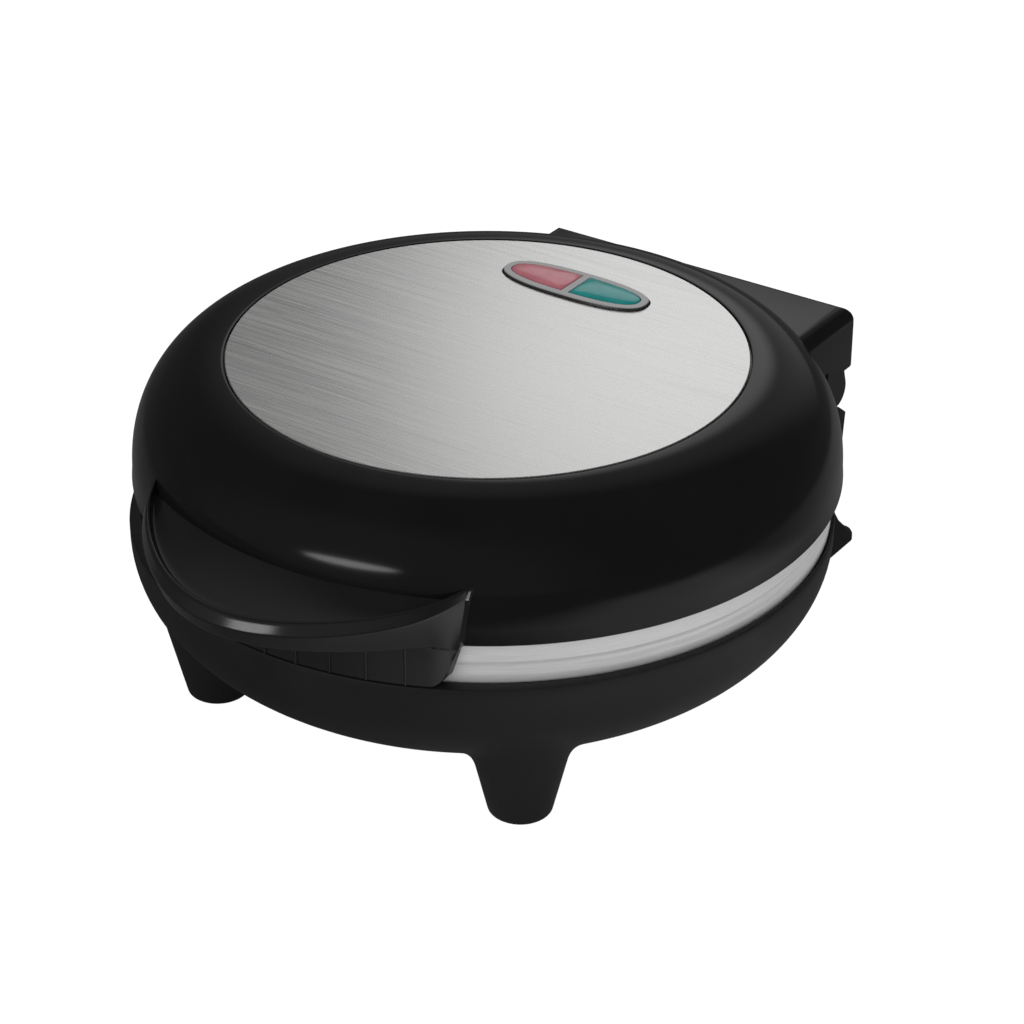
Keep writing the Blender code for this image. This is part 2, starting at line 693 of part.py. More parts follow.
def block_outline(tail):
    """The hinge block's YZ outline, closed below by the tail's points."""
    front = LID_Y + math.sqrt(lid_radius(BLOCK_RISE) ** 2 - BLOCK_HALF_WIDTH ** 2) - WALL / 2
    corners = [(front, LID_EDGE_Z), (front, BLOCK_BACK_TOP[1]), BLOCK_BACK_TOP, BLOCK_HEEL, BLOCK_NECK]
    upper = rounded(corners, [0, 0, BLOCK_ROUND, BLOCK_HEEL_ROUND, 0])
    return upper + tail


def lens_outline(side, inset):
    """The half oval of one lens, inset from the rim of its seat."""
    long_half = LIGHT_HALF_LENGTH - LIGHT_FRAME - inset
    short_half = LIGHT_HALF_WIDTH - LIGHT_FRAME - inset
    limit = math.acos(((LIGHT_BAR / 2 + inset) / long_half) ** (LIGHT_POWER / 2))
    points = []
    for step in range(LENS_STEPS + 1):
        turn = limit * (2 * step / LENS_STEPS - 1)
        along = math.sin(turn)
        points.append((side * long_half * math.cos(turn) ** (2 / LIGHT_POWER),
                       LIGHT_Y + short_half * math.copysign(abs(along) ** (2 / LIGHT_POWER), along)))
    return points


def skirt_reach(x):
    """How far forward of the lid's axis the handle's skirt lies at an X."""
    return BASE_FORWARD + math.sqrt(BASE_RADIUS ** 2 - x ** 2)


def handle_lip_rise(x):
    return HANDLE_LIP_RISE - HANDLE_LIP_FALL * (x / HANDLE_HALF_WIDTH) ** 2


def handle_section(x):
    """(forward, rise) points round the handle's section at one X."""
    x = max(-HANDLE_HALF_WIDTH, min(HANDLE_HALF_WIDTH, x))
    share = abs(x) / HANDLE_HALF_WIDTH
    skirt = skirt_reach(x)
    lip = max(HANDLE_LIP_REACH - HANDLE_LIP_SWEEP * share ** 2, skirt + HANDLE_MELD)
    lip_rise = handle_lip_rise(x)
    crest = HANDLE_REACH - HANDLE_CREST_SWEEP * share ** 2 - HANDLE_CREST_TURN * share ** HANDLE_CREST_POWER
    crest_rise = HANDLE_CREST_RISE + HANDLE_CREST_LIFT * share ** 2
    half = HANDLE_CREST_WIDTH / 2
    section = [(HANDLE_REACH - HANDLE_DEPTH, -SKIRT_DROP), (skirt, -SKIRT_DROP),
               (skirt, min(HANDLE_UNDER_RISE, lip_rise - HANDLE_EDGE)),
               (lip - HANDLE_EDGE, lip_rise), (lip, lip_rise + HANDLE_EDGE)]
    section += arc((crest - half, crest_rise - half), half, 0, 180)
    floor = crest - HANDLE_CREST_WIDTH - HANDLE_EDGE
    floor_rise = crest_rise - HANDLE_DISH_DEPTH
    wall = math.sqrt(lid_radius(HANDLE_TOP_RISE) ** 2 - x ** 2)
    end = min(wall, floor) - HANDLE_SEAT
    for step in range(CORNER_STEPS + 1):
        share = step / CORNER_STEPS
        section.append((floor + (end - floor) * share,
                        floor_rise + (HANDLE_TOP_RISE - floor_rise) * share ** HANDLE_DISH_POWER))
    section.append((HANDLE_REACH - HANDLE_DEPTH, HANDLE_TOP_RISE))
    return section


def front_loft(name, grow):
    """The handle's outline seen from the front, run back into the lid."""
    low = LID_EDGE_Z - SKIRT_DROP
    top = LID_EDGE_Z + HANDLE_TOP_RISE + HANDLE_CREST_LIFT
    outline = rounded([(-SKIRT_HALF_WIDTH - grow, low - grow), (SKIRT_HALF_WIDTH + grow, low - grow),
                       (HANDLE_FOOT_HALF_WIDTH + grow, LID_EDGE_Z), (HANDLE_HALF_WIDTH + grow, top),
                       (-HANDLE_HALF_WIDTH - grow, top), (-HANDLE_FOOT_HALF_WIDTH - grow, LID_EDGE_Z)],
                      [SKIRT_CORNER, SKIRT_CORNER, 0, 0, 0, 0])
    return loft(name, [[(x, y, z) for x, z in outline] for y in (LID_Y - HANDLE_REACH - OVERRUN, LID_Y)])


def wall_core(name, offset, low_radius):
    """The body inside the lid's wall, moved by the offset, with its own radius below the lid's edge."""
    reach = HANDLE_TOP_RISE + HANDLE_CREST_LIFT + OVERRUN
    profile = [(0, LID_EDGE_Z - SKIRT_DROP - OVERRUN), (low_radius, LID_EDGE_Z - SKIRT_DROP - OVERRUN),
               (low_radius, LID_EDGE_Z - GAP), (LID_RADIUS + offset, LID_EDGE_Z - GAP)]
    for step in range(CURVE_STEPS + 1):
        rise = reach * step / CURVE_STEPS
        profile.append((lid_radius(rise) + offset, LID_EDGE_Z + rise))
    return lathe(name, profile + [(0, LID_EDGE_Z + reach)], LID_Y)


clear_scene()

# Base shell: a bowl with a stepped rim, two front feet and a rear bracket on
# two legs, one moulding. The step takes the lid's ring, the shelf the plate.
rim = [(0, RIM_Z), (BASE_RADIUS - RIM_ROUND, RIM_Z), (BASE_RADIUS, RIM_Z - RIM_ROUND)]
base_shell = lathe("base_shell", rim + bowl_profile(0) + [(0, BOWL_BOTTOM_Z)], BASE_Y, "satin_black")
for side, word in ((-1, "left"), (1, "right")):
    join(base_shell, lathe(f"front_foot_{word}",
                           [(0, PAD_LIFT), (FOOT_BOTTOM_RADIUS - FOOT_ROUND, PAD_LIFT),
                            (FOOT_BOTTOM_RADIUS - FOOT_ROUND / 3, PAD_LIFT + FOOT_ROUND / 3),
                            (FOOT_BOTTOM_RADIUS, PAD_LIFT + FOOT_ROUND), (FOOT_TOP_RADIUS, FOOT_TOP_Z),
                            (0, FOOT_TOP_Z)], FOOT_Y, None, SMALL_STEPS, side * FOOT_X))

# The rear bracket: its sloped top is the stop that the open lid's block meets
bracket = slab("bracket", [(BRACKET_ROOT_Y, BRACKET_TOP_Z), (stop_slope_y(BRACKET_TOP_Z, 0), BRACKET_TOP_Z),
                           (LEG_BACK_Y, stop_slope_z(LEG_BACK_Y, 0)), (LEG_BACK_Y, PAD_LIFT),
                           (LEG_FRONT_Y, PAD_LIFT), (LEG_FRONT_Y, LEG_FRONT_Z),
                           (BRACKET_ROOT_Y, BRACKET_FRONT_Z)], -BRACKET_HALF_WIDTH, BRACKET_HALF_WIDTH)
draft_levels = []
for share in (0, 1):
    half = BRACKET_HALF_WIDTH - BRACKET_SIDE_DRAFT * (1 - share)
    back = BRACKET_BACK_Y - BRACKET_BACK_DRAFT * (1 - share)
    plan = rounded([(-half, LID_Y), (half, LID_Y), (half, back), (-half, back)],
                   [0, 0, BRACKET_CORNER, BRACKET_CORNER])
    draft_levels.append([(x, y, BRACKET_TOP_Z * share) for x, y in plan])
draft_levels.append([(x, y, BRACKET_TOP_Z + OVERRUN) for x, y, z in draft_levels[1]])
draft_levels.insert(0, [(x, y, -OVERRUN) for x, y, z in draft_levels[0]])
keep_common(bracket, loft("bracket_draft", draft_levels))
arch = rounded([(-LEG_ARCH_HALF_WIDTH, -OVERRUN), (LEG_ARCH_HALF_WIDTH, -OVERRUN),
                (LEG_ARCH_HALF_WIDTH, LEG_ARCH_TOP_Z), (-LEG_ARCH_HALF_WIDTH, LEG_ARCH_TOP_Z)],
               [0, 0, LEG_ARCH_ROUND, LEG_ARCH_ROUND])
cut(bracket, loft("bracket_arch", [[(x, y, z) for x, z in arch]
                                   for y in (LID_Y, LEG_BACK_Y + OVERRUN)]))
for side, word in ((-1, "left"), (1, "right")):
    flare = []
    edge_z = LEG_FOOT_TOP_Z - LEG_FOOT_EDGE
    for level, inset in ((PAD_LIFT, 0), (edge_z, 0), (LEG_FOOT_TOP_Z, LEG_FOOT_EDGE)):
        inner = side * (LEG_ARCH_HALF_WIDTH - LEG_FOOT_LIP + inset)
        outer = side * (BRACKET_HALF_WIDTH + LEG_FOOT_SPREAD - inset)
        front = LEG_FRONT_Y - LEG_FOOT_LIP + inset
        back = LEG_BACK_Y - inset
        plan = rounded([(inner, front), (outer, front), (outer, back), (inner, back)],
                       [LEG_FOOT_ROUND - inset] * 4)
        flare.append([(x, y, level) for x, y in plan])
    join(bracket, loft(f"leg_foot_{word}", flare))
join(bracket, box("barrel_web", (-BARREL_HALF_LENGTH, PIVOT.y - WEB_HALF_WIDTH, BRACKET_TOP_Z - WALL),
                  (BARREL_HALF_LENGTH, PIVOT.y + WEB_HALF_WIDTH, PIVOT.z)))
join(bracket, rod("barrel", (-BARREL_HALF_LENGTH, PIVOT.y, PIVOT.z), (BARREL_HALF_LENGTH, PIVOT.y, PIVOT.z),
                  BARREL_RADIUS))
bracket_back = BRACKET_BACK_Y - BRACKET_BACK_DRAFT * (1 - INLET_Z / BRACKET_TOP_Z)
join(bracket, rod("inlet_collar", (0, bracket_back - WALL, INLET_Z),
                  (0, bracket_back + INLET_COLLAR_REACH, INLET_Z), INLET_RADIUS + INLET_COLLAR))
join(base_shell, bracket)

# Its inside: the bowl, the bracket's wiring space, the step and the shelf
deep_z = SHELF_Z - PLATE_SHELF
bowl_inside = [(radius, z) for radius, z in bowl_profile(WALL) if z < deep_z]
base_inside = lathe("base_inside", [(0, deep_z), (bowl_radius(deep_z, WALL), deep_z)] + bowl_inside
                    + [(0, BOWL_BOTTOM_Z + WALL)], BASE_Y)
for index, (x, y) in enumerate(POST_PLACES):
    cut(base_inside, rod(f"base_post_{index}", (x, LID_Y + y, BOWL_BOTTOM_Z),
                         (x, LID_Y + y, LOWER_FACE_Z - POST_DROP), POST_RADIUS))
cut(base_shell, base_inside)
shelf_radius = OPENING_RADIUS - SHELF_WIDTH
cut(base_shell, lathe("rim_inside", [(0, RIM_Z + OVERRUN), (RECESS_RADIUS, RIM_Z + OVERRUN),
                                     (RECESS_RADIUS, LEDGE_Z), (OPENING_RADIUS, LEDGE_Z),
                                     (OPENING_RADIUS, SHELF_Z), (shelf_radius, SHELF_Z),
                                     (shelf_radius, deep_z - WALL), (0, deep_z - WALL)], LID_Y))
wire_floor = LEG_ARCH_TOP_Z + WALL
wire_top = BRACKET_TOP_Z - WALL
wire_back = BRACKET_BACK_Y - BRACKET_BACK_DRAFT - WALL
wire_half = BRACKET_HALF_WIDTH - BRACKET_SIDE_DRAFT - WALL
cut(base_shell, slab("wiring_space", [(BRACKET_ROOT_Y, wire_floor + WALL), (LEG_FRONT_Y, wire_floor),
                                      (wire_back, wire_floor), (wire_back, stop_slope_z(wire_back, WALL)),
                                      (stop_slope_y(wire_top, WALL), wire_top), (BRACKET_ROOT_Y, wire_top)],
                     -wire_half, wire_half))
cut(base_shell, rod("inlet", (0, wire_back - OVERRUN, INLET_Z), (0, LEG_BACK_Y, INLET_Z), INLET_RADIUS))
for index, (x, y) in enumerate(POST_PLACES):
    place = (x, LID_Y + y)
    cut(base_shell, rod(f"base_screw_way_{index}", (*place, PAD_LIFT), (*place, LOWER_SEAT_Z + GAP),
                        HEAD_RADIUS + GAP))
    cut(base_shell, rod(f"base_screw_hole_{index}", (*place, PAD_LIFT),
                        (*place, LOWER_FACE_Z - POST_DROP + OVERRUN), SCREW_RADIUS + GAP))
pad_places = [(side * FOOT_X, FOOT_Y) for side in (-1, 1)]
pad_places += [(side * REAR_PAD_X, PIVOT.y - REAR_PAD_FORWARD) for side in (-1, 1)]
for index, place in enumerate(pad_places):
    cut(base_shell, rod(f"pad_seat_{index}", (*place, -OVERRUN), (*place, PAD_THICKNESS + GAP),
                        PAD_RADIUS + GAP))
for side, word in ((-1, "left"), (1, "right")):
    cut(base_shell, rod(f"barrel_bore_{word}", (side * (PIN_START - GAP), PIVOT.y, PIVOT.z),
                        (side * (BARREL_HALF_LENGTH + OVERRUN), PIVOT.y, PIVOT.z),
                        PIN_RADIUS + PIN_CLEARANCE))

# Rubber pads in the four feet, and the two steel pins pressed in the barrel
for name, place in zip(("front_pad_left", "front_pad_right", "rear_pad_left", "rear_pad_right"), pad_places):
    rod(name, (*place, 0), (*place, PAD_THICKNESS), PAD_RADIUS, "foot_rubber")
for side, word in ((-1, "left"), (1, "right")):
    rod(f"hinge_pin_{word}", (side * PIN_START, PIVOT.y, PIVOT.z),
        (side * (PIN_START + PIN_LENGTH), PIVOT.y, PIVOT.z), PIN_RADIUS, "zinc_steel")

# What the base carries: cooking plate, element, reflector, controls, screws
cooking_plate("lower_plate", LOWER_FACE_Z, -1)
heating_element("lower_element", LOWER_FACE_Z, -1)
reflector("lower_reflector", LOWER_FACE_Z, -1)
thermostat("lower_thermostat", LOWER_FACE_Z, -1)
fuse_z = LOWER_FACE_Z - TUB_DEPTH - GAP - FUSE_RADIUS
fuse = rod("thermal_fuse", (FUSE_X, LID_Y - FUSE_LENGTH / 2, fuse_z),
           (FUSE_X, LID_Y + FUSE_LENGTH / 2, fuse_z), FUSE_RADIUS, "zinc_steel")
fuse_reach = FUSE_LENGTH / 2 + FUSE_LEAD_LENGTH
join(fuse, rod("fuse_lead", (FUSE_X, LID_Y - fuse_reach, fuse_z), (FUSE_X, LID_Y + fuse_reach, fuse_z),
               FUSE_LEAD_RADIUS))
terminal_y = PIVOT.y - TERMINAL_FORWARD
terminal_z = wire_floor + GAP
terminals = box("terminal_block", (-TERMINAL_LENGTH / 2, terminal_y - TERMINAL_WIDTH / 2, terminal_z),
                (TERMINAL_LENGTH / 2, terminal_y + TERMINAL_WIDTH / 2, terminal_z + TERMINAL_HEIGHT),
                "white_insulator")
for pole in range(TERMINAL_POLES):
    pole_x = TERMINAL_LENGTH * ((pole + 0.5) / TERMINAL_POLES - 0.5)
    pole_z = terminal_z + TERMINAL_HEIGHT / 2
    cut(terminals, rod(f"terminal_bore_{pole}", (pole_x, terminal_y - TERMINAL_WIDTH / 2 - OVERRUN, pole_z),
                       (pole_x, terminal_y + TERMINAL_WIDTH / 2 + OVERRUN, pole_z), TERMINAL_BORE))
for index, (x, y) in enumerate(POST_PLACES):
    screw(f"lower_plate_screw_{index + 1}", (x, LID_Y + y, LOWER_SEAT_Z), (0, 0, 1),
          SCREW_RADIUS, SCREW_LENGTH, HEAD_RADIUS, HEAD_HEIGHT)

# Everything made from here on turns with the lid about the hinge
fixed_objects = set(bpy.data.objects)

# Lid shell: a turned dome with a sunk top for the disc, the hinge block with
# its two knuckles, four posts and a seat for the handle, one moulding
sunk_top = [(LID_FLAT_RADIUS, RECESS_Z), (0, RECESS_Z)]
lid_shell = lathe("lid_shell", [(0, LID_EDGE_Z)] + lid_profile() + sunk_top, LID_Y, "gloss_black")
block = slab("hinge_block", block_outline([(BLOCK_NECK[0], LID_EDGE_Z)]), -BLOCK_HALF_WIDTH,
             BLOCK_HALF_WIDTH)
knuckle_tail = arc((PIVOT.y, PIVOT.z), KNUCKLE_RADIUS, KNUCKLE_NECK_ANGLE, -90)
knuckle_front = PIVOT.y - KNUCKLE_FORWARD
knuckle_tail += [(knuckle_front, PIVOT.z - KNUCKLE_RADIUS), (knuckle_front, LID_EDGE_Z)]
for side, word in ((-1, "left"), (1, "right")):
    join(block, slab(f"knuckle_{word}", block_outline(knuckle_tail), side * KNUCKLE_INNER_X,
                     side * BLOCK_HALF_WIDTH))
block_low = PIVOT.z - KNUCKLE_RADIUS - OVERRUN
block_top = BLOCK_BACK_TOP[1]
plan = rounded([(-BLOCK_HALF_WIDTH, LID_Y), (BLOCK_HALF_WIDTH, LID_Y), (BLOCK_HALF_WIDTH, BLOCK_HEEL[0]),
                (-BLOCK_HALF_WIDTH, BLOCK_HEEL[0])], [0, 0, BLOCK_CORNER, BLOCK_CORNER])
keep_common(block, prism("block_plan", plan, block_low, block_top + OVERRUN))
face = rounded([(-BLOCK_HALF_WIDTH, block_low), (BLOCK_HALF_WIDTH, block_low), (BLOCK_HALF_WIDTH, block_top),
                (-BLOCK_HALF_WIDTH, block_top)], [0, 0, BLOCK_END_ROUND, BLOCK_END_ROUND])
keep_common(block, loft("block_face", [[(x, y, z) for x, z in face]
                                       for y in (LID_Y, BLOCK_HEEL[0] + OVERRUN)]))
cut(block, box("block_hollow", (-KNUCKLE_INNER_X, LID_Y + LID_RADIUS + BLOCK_HOLLOW_OFFSET, block_low),
               (KNUCKLE_INNER_X, BLOCK_BACK_TOP[0] - WALL, block_top - WALL)))
for side, word in ((-1, "left"), (1, "right")):
    cut(block, rod(f"knuckle_bore_{word}", (side * (KNUCKLE_INNER_X - OVERRUN), PIVOT.y, PIVOT.z),
                   (side * (PIN_START + PIN_LENGTH + GAP), PIVOT.y, PIVOT.z), PIN_RADIUS + PIN_CLEARANCE))
join(lid_shell, block)
seat_top = LID_EDGE_Z + RING_SEAT_RISE
stop_top = seat_top + RING_STOP_HEIGHT
inside_top = RECESS_Z - WALL
side_z = LID_EDGE_Z + LID_SIDE_RISE
dome = shoulder(LID_FLAT_RADIUS - WALL, LID_SIDE_RADIUS - WALL, inside_top - side_z, LID_POWER)
dome = [(radius, side_z + rise) for radius, rise in dome if side_z + rise > stop_top + GAP]
lid_inside = lathe("lid_inside", [(0, inside_top)] + dome[::-1]
                   + [(lid_radius(stop_top - LID_EDGE_Z) - WALL, stop_top), (RING_STOP_RADIUS, stop_top),
                      (RING_STOP_RADIUS, seat_top), (RING_RADIUS + GAP, seat_top),
                      (RING_RADIUS + GAP, LID_EDGE_Z - OVERRUN), (0, LID_EDGE_Z - OVERRUN)], LID_Y)
for index, (x, y) in enumerate(POST_PLACES):
    cut(lid_inside, rod(f"lid_post_{index}", (x, LID_Y + y, UPPER_FACE_Z + POST_DROP),
                        (x, LID_Y + y, inside_top + OVERRUN), POST_RADIUS))
cut(lid_shell, lid_inside)
for index, (x, y) in enumerate(POST_PLACES):
    place = (x, LID_Y + y)
    cut(lid_shell, rod(f"lid_screw_way_{index}", (*place, RECESS_Z + OVERRUN), (*place, UPPER_SEAT_Z - GAP),
                       HEAD_RADIUS + GAP))
    cut(lid_shell, rod(f"lid_screw_hole_{index}", (*place, RECESS_Z + OVERRUN),
                       (*place, UPPER_FACE_Z + POST_DROP - OVERRUN), SCREW_RADIUS + GAP))
seat_way = front_loft("handle_seat", GAP)
cut(seat_way, wall_core("handle_seat_core", -HANDLE_SEAT, LID_RADIUS - HANDLE_SEAT))
cut(lid_shell, seat_way)
neck = (LIGHT_HALF_LENGTH - LIGHT_NECK, LIGHT_HALF_WIDTH - LIGHT_NECK)
light_way = prism("light_way", oval(neck[0] + GAP, neck[1] + GAP), inside_top - OVERRUN, LID_TOP_Z + OVERRUN)
cut(lid_shell, light_way)

# Trim ring: a grooved metal band that hangs in the lid's edge, turned in
# below to guard the upper plate
ring_top = seat_top - GAP
ring_profile = [(RING_RADIUS - RING_LIP_WIDTH, RING_BOTTOM_Z),
                (RING_RADIUS - RING_EDGE_ROUND, RING_BOTTOM_Z),
                (RING_RADIUS, RING_BOTTOM_Z + RING_EDGE_ROUND)]
for drop, width in ((RING_FINE_GROOVE_DROP, RING_FINE_GROOVE_WIDTH),
                    (RING_WIDE_GROOVE_DROP, RING_WIDE_GROOVE_WIDTH)):
    low = LID_EDGE_Z - drop - width / 2
    floor = RING_RADIUS - RING_GROOVE_DEPTH
    ring_profile += [(RING_RADIUS, low), (floor, low + width / 2), (RING_RADIUS, low + width)]
lathe("trim_ring", ring_profile + [(RING_RADIUS, ring_top), (RING_RADIUS - RING_WALL, ring_top),
                                   (RING_RADIUS - RING_WALL, RING_BOTTOM_Z + RING_LIP_THICKNESS),
                                   (RING_RADIUS - RING_LIP_WIDTH, RING_BOTTOM_Z + RING_LIP_THICKNESS)],
      LID_Y, "satin_silver")

# Top disc: thin sheet sunk flush in the lid, with an oval hole for the lights
top_disc = lathe("top_disc", [(0, RECESS_Z + GAP), (DISC_RADIUS, RECESS_Z + GAP), (DISC_RADIUS, LID_TOP_Z),
                              (0, LID_TOP_Z)], LID_Y, "brushed_steel")
cut(top_disc, light_way)

# Handle: a dished lip with a raised crest, its ears and ribbed skirt wrapped
# round the front of the lid. The crest's sweep and its flat dished floor are
# one loft, trimmed to its rounded front outline and to the lid's wall.
stations = [HANDLE_HALF_WIDTH * (2 * step / HANDLE_STATIONS - 1) for step in range(HANDLE_STATIONS + 1)]
stations = [-HANDLE_HALF_WIDTH - OVERRUN] + stations + [HANDLE_HALF_WIDTH + OVERRUN]
handle = loft("lid_handle", [[(x, LID_Y - forward, LID_EDGE_Z + rise) for forward, rise in handle_section(x)]
                             for x in stations], "gloss_black")
for number in range(-RIB_COUNT_EACH_WAY, RIB_COUNT_EACH_WAY + 1):
    middle = number * RIB_PITCH
    reach = skirt_reach(abs(middle) + RIB_WIDTH / 2) + RIB_HEIGHT
    join(handle, box(f"handle_rib_{number + RIB_COUNT_EACH_WAY}",
                     (middle - RIB_WIDTH / 2, LID_Y - reach, LID_EDGE_Z - SKIRT_DROP + GAP),
                     (middle + RIB_WIDTH / 2, LID_Y - reach + RIB_HEIGHT + WALL,
                      LID_EDGE_Z + min(HANDLE_UNDER_RISE, handle_lip_rise(middle)) + HANDLE_EDGE)))
keep_common(handle, front_loft("handle_outline", 0))
cut(handle, wall_core("handle_core", GAP - HANDLE_SEAT, RING_RADIUS + SKIRT_CLEARANCE))
screw_turns = [side * math.asin(HANDLE_SCREW_X / LID_RADIUS) for side in (-1, 1)]
screw_seat = lid_radius(HANDLE_SCREW_RISE + SMALL_HEAD_RADIUS * 2) - WALL - GAP
screw_z = LID_EDGE_Z + HANDLE_SCREW_RISE
for index, turn in enumerate(screw_turns):
    along = Vector((math.sin(turn), -math.cos(turn), 0))
    centre = Vector((0, LID_Y, screw_z))
    way = rod(f"handle_screw_way_{index}", centre + along * screw_seat,
              centre + along * (screw_seat + SMALL_SCREW_LENGTH + GAP), SMALL_SCREW_RADIUS + GAP)
    cut(lid_shell, way)
    cut(handle, way)
    screw(f"handle_screw_{index + 1}", centre + along * screw_seat, along,
          SMALL_SCREW_RADIUS, SMALL_SCREW_LENGTH, SMALL_HEAD_RADIUS, SMALL_HEAD_HEIGHT)

# Indicator: an oval bezel over the disc with two crowned lenses parted by a
# bar, and a tray below it that holds two lamps
light_top = LID_TOP_Z + LIGHT_LIFT
bezel_levels = [(LID_TOP_Z + GAP, 0), (light_top - LIGHT_EDGE, 0), (light_top, LIGHT_EDGE)]
bezel_rings = [(z, oval(LIGHT_HALF_LENGTH - inset, LIGHT_HALF_WIDTH - inset)) for z, inset in bezel_levels]
bezel = loft("indicator_bezel", [[(x, y, z) for x, y in ring] for z, ring in bezel_rings], "bezel_grey")
join(bezel, prism("bezel_neck", oval(*neck), LID_TOP_Z - LIGHT_DEPTH, LID_TOP_Z + LIGHT_LIFT / 2))
ledge_z = light_top - LENS_THICKNESS
tray_z = LID_TOP_Z - LIGHT_DEPTH - GAP
tray = prism("lamp_tray", oval(*neck), tray_z - TRAY_THICKNESS, tray_z, "satin_black")
for side, word, colour in ((-1, "left", "red"), (1, "right", "green")):
    cut(bezel, prism(f"lens_seat_{word}", lens_outline(side, 0), ledge_z, light_top + OVERRUN))
    cut(bezel, prism(f"lamp_well_{word}", lens_outline(side, LIGHT_LEDGE), LID_TOP_Z - LIGHT_DEPTH - OVERRUN,
                     ledge_z + LENS_THICKNESS / 2))
    lens_levels = [(ledge_z + GAP, GAP), (light_top, GAP)]
    for step in range(1, CORNER_STEPS):
        turn = math.pi / 2 * step / CORNER_STEPS
        lens_levels.append((light_top + LENS_CROWN * math.sin(turn),
                            GAP + LENS_ROUND * (1 - math.cos(turn))))
    loft(f"{colour}_lens", [[(x, y, z) for x, y in lens_outline(side, inset)] for z, inset in lens_levels],
         f"{colour}_lens")
    lamp_x = side * LAMP_X
    lamp_z = tray_z + CRADLE_HEIGHT
    lamp_ends = [(lamp_x + end * LAMP_LENGTH / 2, LIGHT_Y, lamp_z) for end in (-1, 1)]
    rod(f"{colour}_lamp", lamp_ends[0], lamp_ends[1], LAMP_RADIUS, "lamp_glass")
    for end in (-1, 1):
        middle = lamp_x + end * LAMP_LENGTH / 4
        cradle_reach = LAMP_RADIUS + CRADLE_WIDTH
        cradle = box(f"cradle_{word}_{end + 1}",
                     (middle - CRADLE_WIDTH / 2, LIGHT_Y - cradle_reach, tray_z - TRAY_THICKNESS / 2),
                     (middle + CRADLE_WIDTH / 2, LIGHT_Y + cradle_reach, lamp_z))
        cut(cradle, rod(f"cradle_way_{word}_{end + 1}", (middle - CRADLE_WIDTH, LIGHT_Y, lamp_z),
                        (middle + CRADLE_WIDTH, LIGHT_Y, lamp_z), LAMP_RADIUS + GAP))
        join(tray, cradle)

# What the lid carries: cooking plate, element, reflector, thermostat, screws
cooking_plate("upper_plate", UPPER_FACE_Z, 1)
heating_element("upper_element", UPPER_FACE_Z, 1)
reflector("upper_reflector", UPPER_FACE_Z, 1)
thermostat("upper_thermostat", UPPER_FACE_Z, 1)
for index, (x, y) in enumerate(POST_PLACES):
    screw(f"upper_plate_screw_{index + 1}", (x, LID_Y + y, UPPER_SEAT_Z), (0, 0, -1),
          SCREW_RADIUS, SCREW_LENGTH, HEAD_RADIUS, HEAD_HEIGHT)

# The lid's parent lies on the hinge axis
hinge = bpy.data.objects.new("lid_hinge", None)
bpy.context.scene.collection.objects.link(hinge)
hinge.location = PIVOT
for item in bpy.data.objects:
    if item != hinge and item not in fixed_objects:
        item.parent = hinge
        item.matrix_parent_inverse = Matrix.Translation(-PIVOT)
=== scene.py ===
"""Looks of the electric omelette maker: a glossy black round cooker on white."""

import json
import math

import bpy
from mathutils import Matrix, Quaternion, Vector


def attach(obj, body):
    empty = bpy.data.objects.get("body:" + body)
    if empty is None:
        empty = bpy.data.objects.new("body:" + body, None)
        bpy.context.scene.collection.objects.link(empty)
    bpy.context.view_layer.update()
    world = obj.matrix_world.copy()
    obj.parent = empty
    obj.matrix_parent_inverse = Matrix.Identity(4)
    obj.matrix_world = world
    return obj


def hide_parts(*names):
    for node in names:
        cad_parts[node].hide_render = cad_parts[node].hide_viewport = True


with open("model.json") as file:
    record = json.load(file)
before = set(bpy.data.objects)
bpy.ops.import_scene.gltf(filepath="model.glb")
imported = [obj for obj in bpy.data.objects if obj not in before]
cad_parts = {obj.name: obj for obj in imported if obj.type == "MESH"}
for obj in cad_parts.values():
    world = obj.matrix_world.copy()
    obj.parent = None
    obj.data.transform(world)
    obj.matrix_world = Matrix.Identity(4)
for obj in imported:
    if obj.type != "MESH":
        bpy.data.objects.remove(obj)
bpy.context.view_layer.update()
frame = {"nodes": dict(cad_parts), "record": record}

# The studio: a white floor with a faint shadow and a plainly lit room. Gloss and
# metal see less light: painted patches of the floor, with a painted shadow round the
# object, and of the room behind the left, a card behind the disc and a strip in
# front. The camera stands as the photograph's.
CAMERA_AZIMUTH = math.radians(34.532)
CAMERA_ELEVATION = math.radians(28.764)
CAMERA_DISTANCE = 1.0
CAMERA_LENS = 111.10
CAMERA_SHIFT = (0.02387, -0.0525)
LID_Y = 0.00175
LID_EDGE_Z = 0.0726
FLOOR_SIZE = 12.0
FLOOR_WHITE = 0.86
FLOOR_SHOWN = 0.92
FLOOR_GLOW = 1.08
FLOOR_MIRRORED = (0.06, 0.90)
ROOM_LEVEL = 0.75
ROOM_MIRRORED = (0.05, 0.24)
ROOM_FRONT = 0.20

camera_data = bpy.data.cameras.new("camera")
camera_data.lens = CAMERA_LENS
camera_data.sensor_width = 36
camera_data.shift_x, camera_data.shift_y = CAMERA_SHIFT
camera = bpy.data.objects.new("camera", camera_data)
bpy.context.scene.collection.objects.link(camera)
camera.location = Vector((math.sin(CAMERA_AZIMUTH) * math.cos(CAMERA_ELEVATION),
                          -math.cos(CAMERA_AZIMUTH) * math.cos(CAMERA_ELEVATION),
                          math.sin(CAMERA_ELEVATION))) * CAMERA_DISTANCE + Vector((0, LID_Y, LID_EDGE_Z))
camera.rotation_euler = (math.pi / 2 - CAMERA_ELEVATION, 0, CAMERA_AZIMUTH)
bpy.context.scene.camera = camera
bpy.context.scene.view_settings.view_transform = "Standard"


def wire(tree, source, target):
    """Join two sockets of a node tree."""
    tree.links.new(source, target)


